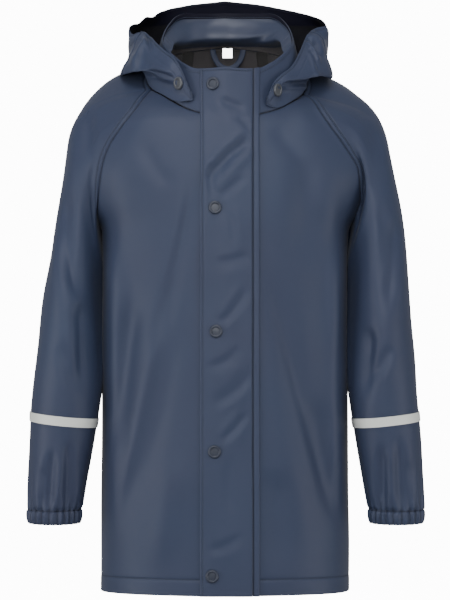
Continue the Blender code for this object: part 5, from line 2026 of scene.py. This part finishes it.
@dataclass
class Hood:
    """The hood lying open behind the neck: two side panels and a centre panel."""

    finishes: Finishes
    seam: Seam = Seam(stitch=Groove(0.8, 1.1, 0.55, 0.6), stitch_at=5.2)
    length: float = 260.0
    side_width: float = 150.0
    centre_width: float = 190.0
    rim_stitch: Groove = Groove(0.4, 1.3)
    tab_stitch: Groove = Groove(0.55, 0.9, 0.6, 0.7)
    tab_stitch_at: float = 3.0
    tab_width: float = 11.0
    rim_width: float = 16.0
    front_facing: float = 40.0
    bend_reach: float = 13.0
    middle_fade: float = 40.0
    snap_tilt: float = 0.45

    def _plain(self, side: Side) -> tuple[Sheet, int]:
        """Half the hood before it is creased and sewn, and the column of its panels' seam."""
        shares = marks(self.length, 3.0, FREE_MARKS, FREE_MARKS)
        front = marks(self.side_width, 2.2, FREE_MARKS, EDGE_MARKS)
        back = marks(self.centre_width, 3.2, EDGE_MARKS, (0.0, 3.0))
        start = HOOD_START[side]
        near = start + (HOOD_SEAM_ANGLE - start) * front
        far = HOOD_SEAM_ANGLE + (180.0 - HOOD_SEAM_ANGLE) * back
        angles = np.concatenate([near, far[1:]])
        share_grid, angle_grid = np.meshgrid(shares, angles, indexing="ij")
        points = Form.hood(side, angle_grid, share_grid)
        bent = bell(Sheet(points, 1).from_edge(Edge.LAST_ROW), self.bend_reach)
        points[..., 0] += side.value * bent * column(RIM_BENDS[side], "angle", "out", angle_grid)
        points[..., 2] += bent * column(RIM_BENDS[side], "angle", "up", angle_grid)
        sheet = Sheet(points, -side.value)
        sheet.normals[:, -1] = unit(sheet.normals[:, -1] * (0, 1, 1))
        return sheet, len(near) - 1

    def _half(self, side: Side) -> tuple[Sheet, Array, int]:
        """Half the hood, from its front end to the centre back.

        Args:
            side: The wearer's side.

        Returns:
            Its face, its painted seam shade, and the column of its panels' seam.
        """
        sheet, seam = self._plain(side)
        facing = np.clip(-sheet.normals[..., 1] * 1.6 + 0.35, 0, 1)
        offset = crease_offset(sheet.points, HOOD_CREASES, View.FRONT, facing)
        from_middle = ease(sheet.from_edge(Edge.LAST_COLUMN) / self.middle_fade)
        offset = offset + ripple(sheet.points, seed=41, wave=60.0, height=0.8) * from_middle
        spot = HOOD_SNAPS[side]
        across, up = np.moveaxis(laid_flat(sheet.points, View.FRONT) - (spot.x, spot.z), -1, 0)
        tab = bell(np.hypot(across, up), self.tab_width) * facing
        offset = offset - side.value * self.snap_tilt * across * tab
        from_start = sheet.from_edge(Edge.FIRST_COLUMN)
        from_seam = np.abs(from_start - from_start[:, seam : seam + 1])
        behind = np.arange(sheet.points.shape[1])[None] >= seam
        line = self.seam.line
        offset = offset + np.where(behind, line.sunk(from_seam), self.seam.offset(from_seam))
        # painted shade along the panels' seam and the tab's stitching
        dark = np.where(behind, line.dark(from_seam), self.seam.dark(from_seam))
        rim = sheet.from_edge(Edge.LAST_ROW)
        offset = offset + self.rim_stitch.sunk(rim - self.rim_width)
        for gap in (rim - self.tab_stitch_at, from_start - self.tab_stitch_at):
            offset = offset + self.tab_stitch.sunk(gap)
            dark = dark + self.tab_stitch.dark(gap)
        moved = sheet.raised(offset)
        moved.normals[:, -1] = unit(moved.normals[:, -1] * (0, 1, 1))
        return moved, dark, seam

    def build(self, stitches: Stitching) -> dict[Side, Sheet]:
        """Makes the three panels.

        Args:
            stitches: Where the topstitching goes.

        Returns:
            Each side panel's face, for its snap to sit on.
        """
        panels = {}
        points, normals, darks = [], [], []
        for side in Side:
            half, dark, seam = self._half(side)
            panel = half.part(slice(None), slice(0, seam + 1))
            panels[side] = panel
            turned = {Edge.LAST_ROW: self.rim_width, Edge.FIRST_COLUMN: self.front_facing}
            size = ((0.15, 0.11), 0.0082)
            self._piece("hood_" + side.word, panel, dark[:, : seam + 1], turned, size)
            stitches.add(*panel.line_at(Edge.LAST_COLUMN, self.seam.stitch_at))
            for edge in (Edge.LAST_ROW, Edge.FIRST_COLUMN):
                stitches.add(*panel.line_at(edge, self.tab_stitch_at))
            middle = slice(seam, None) if side is Side.RIGHT else slice(-2, seam - 1, -1)
            points.append(half.points[:, middle])
            normals.append(half.normals[:, middle])
            darks.append(dark[:, middle])
        centre = Sheet(np.concatenate(points, axis=1), 1)
        centre.normals = np.concatenate(normals, axis=1)
        dark = np.concatenate(darks, axis=1)
        turned = {Edge.LAST_ROW: self.rim_width}
        self._piece("hood_centre", centre, dark, turned, ((0.42, 0.33), 0.11))
        stitches.add(*centre.line_at(Edge.LAST_ROW, self.rim_width))
        return panels

    def _piece(
        self,
        node: str,
        sheet: Sheet,
        dark: Array,
        turned: dict[Edge, float],
        size: tuple[tuple[float, float], float],
    ) -> None:
        """Makes one of the three panels.

        Args:
            node: The CAD node that it stands for.
            sheet: Its face.
            dark: Its painted shade along seams and stitching.
            turned: How wide its facing is along each edge that has one.
            size: Its flat width and length in metres, and its cut area; not used.
        """
        # Inside, the darkened knit and the darkened facing are painted shade within the hood.
        Cloth(
            node + "_shell",
            sheet,
            self.finishes.coated,
            self.finishes.hood_knit,
            free_edges=(Edge.FIRST_ROW, *turned),
            turned=turned,
            seam=dark,
            lining=self.finishes.facing,
        ).sewn(node)


@dataclass
class Snaps:
    """Ring snap caps, all copies of one."""

    finishes: Finishes
    radius: float = 7.6
    height: float = 3.0
    dish_radius: float = 4.7
    dish_depth: float = 1.5
    base_sink: float = 0.3
    tab_sink: float = 0.8

    def _cap(self) -> bpy.types.Object:
        """Models one cap at the origin, its face up +Z."""
        outer, top, dish = self.radius, self.height, self.dish_radius
        floor = top - self.dish_depth
        steps = (
            (outer - 0.3, 0.35),
            (outer, 0.9),
            (outer - 0.1, top - 1.0),
            (outer - 0.6, top - 0.35),
            (outer - 1.3, top),
            (dish + 0.35, top - 0.15),
            (dish, top - 0.55),
            (dish - 0.25, floor),
            (dish - 1.2, floor),
            (1.4, floor + 0.22),
        )
        bpy.ops.object.select_all(action="DESELECT")
        radius, height = outer - 0.9, 0.0
        bpy.ops.mesh.primitive_circle_add(vertices=48, radius=radius * MM, fill_type="NGON")
        cap = bpy.context.object
        bpy.ops.object.mode_set(mode="EDIT")
        bpy.ops.mesh.select_all(action="SELECT")
        for next_radius, next_height in steps:
            rise = (0, 0, (next_height - height) * MM)
            bpy.ops.mesh.extrude_region_move(TRANSFORM_OT_translate={"value": rise})
            scale = next_radius / radius
            bpy.ops.transform.resize(value=(scale, scale, 1), center_override=(0, 0, 0))
            radius, height = next_radius, next_height
        bpy.ops.mesh.select_all(action="SELECT")
        bpy.ops.mesh.normals_make_consistent(inside=False)
        bpy.ops.object.mode_set(mode="OBJECT")
        bpy.ops.object.shade_smooth_by_angle(angle=math.radians(50))
        cap.data.materials.append(self.finishes.cap)
        return cap

    def build(self, seats: Sequence[tuple[SnapSpot, Sheet]]) -> None:
        """Sets a cap on each spot.

        Args:
            seats: Each snap's spot and the cloth that it sits on.
        """
        first = self._cap()
        for spot, sheet in seats:
            place, normal = seat_on(sheet, spot, self.base_sink)
            cap = linked(spot.node + "_cap", first.data.copy())
            cap.data.name = cap.name
            if spot.outward:
                normal = normal + (math.copysign(spot.outward, place[0]), 0.0, 0.0)
                place = place - unit(normal) * self.tab_sink
                cap.data.materials[0] = self.finishes.hood_cap
            turn = Vector((0, 0, 1)).rotation_difference(Vector(normal))
            cap.data.transform(Matrix.Translation(Vector(place) * MM) @ turn.to_matrix().to_4x4())
            keep(cap, spot.node)
            log.info("%s placed", cap.name)
        bpy.data.objects.remove(first)


def seat_on(sheet: Sheet, spot: SnapSpot, sink: float) -> tuple[Array, Array]:
    """The place on a sheet that shows at a spot of the front view.

    Args:
        sheet: The cloth.
        spot: The spot.
        sink: How far the snap's base sits below the cloth's face.

    Returns:
        The place and the normal there, evened over the snap's width.
    """
    flat = laid_flat(sheet.points, View.FRONT).reshape(-1, 2)
    far = np.linalg.norm(flat - (spot.x, spot.z), axis=1)
    points, normals = sheet.points.reshape(-1, 3), sheet.normals.reshape(-1, 3)
    far = np.where(normals[:, 1] < 0, far, np.inf)
    weight = bell(far, 3.0)[:, None]
    place = (points * weight).sum(axis=0) / weight.sum()
    normal = unit((normals * bell(far, 6.0)[:, None]).sum(axis=0))
    return place - normal * sink, normal


@dataclass
class NeckTrim:
    """Hanger loop and blank label inside the back neck."""

    finishes: Finishes
    centre_x: float = 3.7
    reach: float = 18.5
    top_z: float = 40.0
    drop: float = 24.0
    band: float = 7.2
    label_size: float = 12.0
    label_top: float = 41.5

    def _inside(self, x: Array) -> Array:
        """Depth of the back neck seam's inner face at a distance from the centre line."""
        turn = np.arcsin(np.clip(np.abs(x) / NECK_HALF_WIDTH[Side.RIGHT], 0.0, 1.0))
        return NECK_CENTRE_Y + NECK_HALF_DEPTH * np.cos(turn) - 2.1

    def build(self) -> None:
        """Makes the loop and the label."""
        turn = math.pi * np.linspace(0.0, 1.0, 61)
        half = self.band / 2
        rows = []
        for share in marks(self.band, 1.0, (0.0, 0.2, 0.6, 1.2), (0.0, 0.2, 0.6, 1.2)):
            shift = self.band * share - half
            x = self.centre_x - (self.reach + shift) * np.cos(turn)
            z = self.top_z - (self.drop + shift) * np.sin(turn) ** 1.15
            puff = 0.5 * math.sin(math.pi * share)
            rows.append(stack(x, self._inside(x) - puff, z))
        loop = Sheet.facing_front(np.array(rows))
        cloth, edges = self.finishes.coated, (Edge.FIRST_ROW, Edge.LAST_ROW)
        strip = Cloth("hang_loop_strip", loop, cloth, cloth, 1.4, edges)
        strip.sewn("hang_loop")
        half = self.label_size / 2
        x_values = self.centre_x - 0.7 + np.linspace(-half, half, 13)
        z_values = self.label_top - self.label_size * np.linspace(1.0, 0.0, 13)
        z, x = np.meshgrid(z_values, x_values, indexing="ij")
        curl = 0.5 * ((z - self.label_top) / self.label_size) ** 2
        sheet = Sheet.facing_front(stack(x, self._inside(x) - curl, z))
        cloth, size = self.finishes.label, self.label_size * MM
        label = Cloth("label_cloth", sheet, cloth, cloth, 0.5, tuple(Edge))
        piece = label.sewn("label")
        # The label's painted glow is kept out of diffuse and glossy rays, so it lights nothing
        # else.
        piece.visible_diffuse = piece.visible_glossy = False


@dataclass
class LiningTapes:
    """Dark tapes over the inner side of the back's two raglan seams, down from the neck."""

    torso: Torso
    finishes: Finishes
    width: float = 15.0
    top_z: float = 36.0
    length: float = 190.0
    top_x: float = 47.0
    low_x: float = 118.0
    thickness: float = 0.6

    def build(self) -> None:
        """Makes one tape on each side."""
        for side in Side:
            back = self.torso.halves[side, True]
            down = np.linspace(0.0, 1.0, 90)
            across = np.linspace(-0.5, 0.5, 9) * self.width
            z = self.top_z - self.length * down
            x = self.top_x + (self.low_x - self.top_x) * down**1.6
            rows = []
            for spot_x, spot_z in zip(x, z):
                line = back.points[np.abs(back.points[:, :, 2].mean(axis=1) - spot_z).argmin()]
                reach = np.abs(line[:, 0])
                y = np.interp(spot_x + across, reach, line[:, 1])
                rows.append(stack(side.value * (spot_x + across), y, spot_z))
            tape = Sheet.facing_front(np.array(rows)).raised(CLOTH_THICKNESS + 1.6)
            name, cloth = "lining_tape_" + side.word, self.finishes.seam_tape
            strip = Cloth(name, tape, cloth, cloth, self.thickness, tuple(Edge))
            strip.sewn("")


@dataclass(frozen=True)
class SoftLight:
    """One soft studio lamp, aimed at the jacket's middle."""

    name: str
    place: tuple[float, float, float]
    size: float
    power: float

    def build(self) -> None:
        """Adds the lamp."""
        data = bpy.data.lights.new(self.name, "AREA")
        data.energy = self.power
        data.size = self.size
        lamp = linked(self.name, data)
        lamp.location = self.place
        aim = Vector((0.0, 0.0, EYE_HEIGHT * MM)) - Vector(self.place)
        lamp.rotation_mode = "QUATERNION"
        lamp.rotation_quaternion = aim.to_track_quat("-Z", "Y")


@dataclass
class Studio:
    """Pale floor and backdrop, soft light, and the camera at the photograph's angle."""

    finishes: Finishes
    floor_z: float = -1.03
    floor_size: float = 12.0
    wall_height: float = 7.0
    sweep: float = 2.0
    lens: float = 115.0
    glow: float = 0.36
    lights: tuple[SoftLight, ...] = (
        SoftLight("key", (-0.1, -2.7, 0.6), 1.5, 33.0),
        SoftLight("left", (-2.4, -1.35, -0.5), 1.6, 38.0),
        SoftLight("right", (2.45, -1.35, -0.8), 1.6, 33.0),
        SoftLight("top", (-0.2, -1.6, 2.1), 1.3, 31.0),
        SoftLight("back", (0.0, 2.6, 0.3), 1.8, 14.0),
    )

    def build(self) -> None:
        """Sets the studio up."""
        bpy.ops.object.select_all(action="DESELECT")
        bpy.ops.mesh.primitive_plane_add(size=self.floor_size, location=(0, 0, self.floor_z))
        floor = bpy.context.object
        floor.name = "studio_floor"
        bpy.ops.object.mode_set(mode="EDIT")
        bpy.ops.mesh.select_mode(type="EDGE")
        bpy.ops.mesh.select_all(action="DESELECT")
        bpy.ops.object.mode_set(mode="OBJECT")
        for edge in floor.data.edges:
            ends = [floor.data.vertices[i].co.y for i in edge.vertices]
            edge.select = min(ends) > self.floor_size / 2 - 0.1
        bpy.ops.object.mode_set(mode="EDIT")
        rise = (0, 0, self.wall_height)
        bpy.ops.mesh.extrude_region_move(TRANSFORM_OT_translate={"value": rise})
        bpy.ops.object.mode_set(mode="OBJECT")
        bend = floor.modifiers.new("sweep", "BEVEL")
        bend.width = self.sweep
        bend.segments = 24
        bpy.ops.object.modifier_apply(modifier="sweep")
        bpy.ops.object.shade_smooth()
        bpy.ops.object.transform_apply(location=True, rotation=False, scale=False)
        floor.data.materials.append(self.finishes.paper)
        floor.visible_diffuse = floor.visible_glossy = False
        for light in self.lights:
            light.build()
        world = bpy.data.worlds.new("studio")
        world.use_nodes = True
        sky = world.node_tree.nodes["Background"]
        sky.inputs["Color"].default_value = (1.0, 1.0, 1.0, 1.0)
        sky.inputs["Strength"].default_value = self.glow
        bpy.context.scene.world = world
        data = bpy.data.cameras.new("camera")
        data.lens = self.lens
        data.sensor_width = 36.0
        camera = linked("camera", data)
        camera.location = (0.0, -EYE_DISTANCE * MM, EYE_HEIGHT * MM)
        camera.rotation_euler = (math.pi / 2, 0.0, 0.0)
        bpy.context.scene.camera = camera


def main() -> None:
    """Builds the jacket and the studio round it."""
    logging.basicConfig(level=logging.INFO, format="%(name)s %(message)s")
    finishes = Finishes()
    Studio(finishes).build()
    stitches = Stitching()
    torso = Torso(finishes)
    torso.build(stitches)
    stitches.build("stitches_hem", finishes.thread)
    for side in Side:
        Sleeve(side, torso, finishes).build(stitches)
        stitches.build(f"stitches_sleeve_{side.word}", finishes.thread)
    collar = Collar(finishes)
    collar.build(stitches)
    stitches.build("stitches_collar", finishes.thread)
    flap = StormFlap(torso, collar, finishes).build(stitches)
    stitches.build("stitches_flap", finishes.thread)
    hood = Hood(finishes).build(stitches)
    stitches.build("stitches_hood", finishes.thread)
    tabs = [(spot, hood[side]) for side, spot in HOOD_SNAPS.items()]
    Snaps(finishes).build([*((spot, flap) for spot in FLAP_SNAPS), *tabs])
    NeckTrim(finishes).build()
    LiningTapes(torso, finishes).build()


if __name__ == "__main__":
    main()
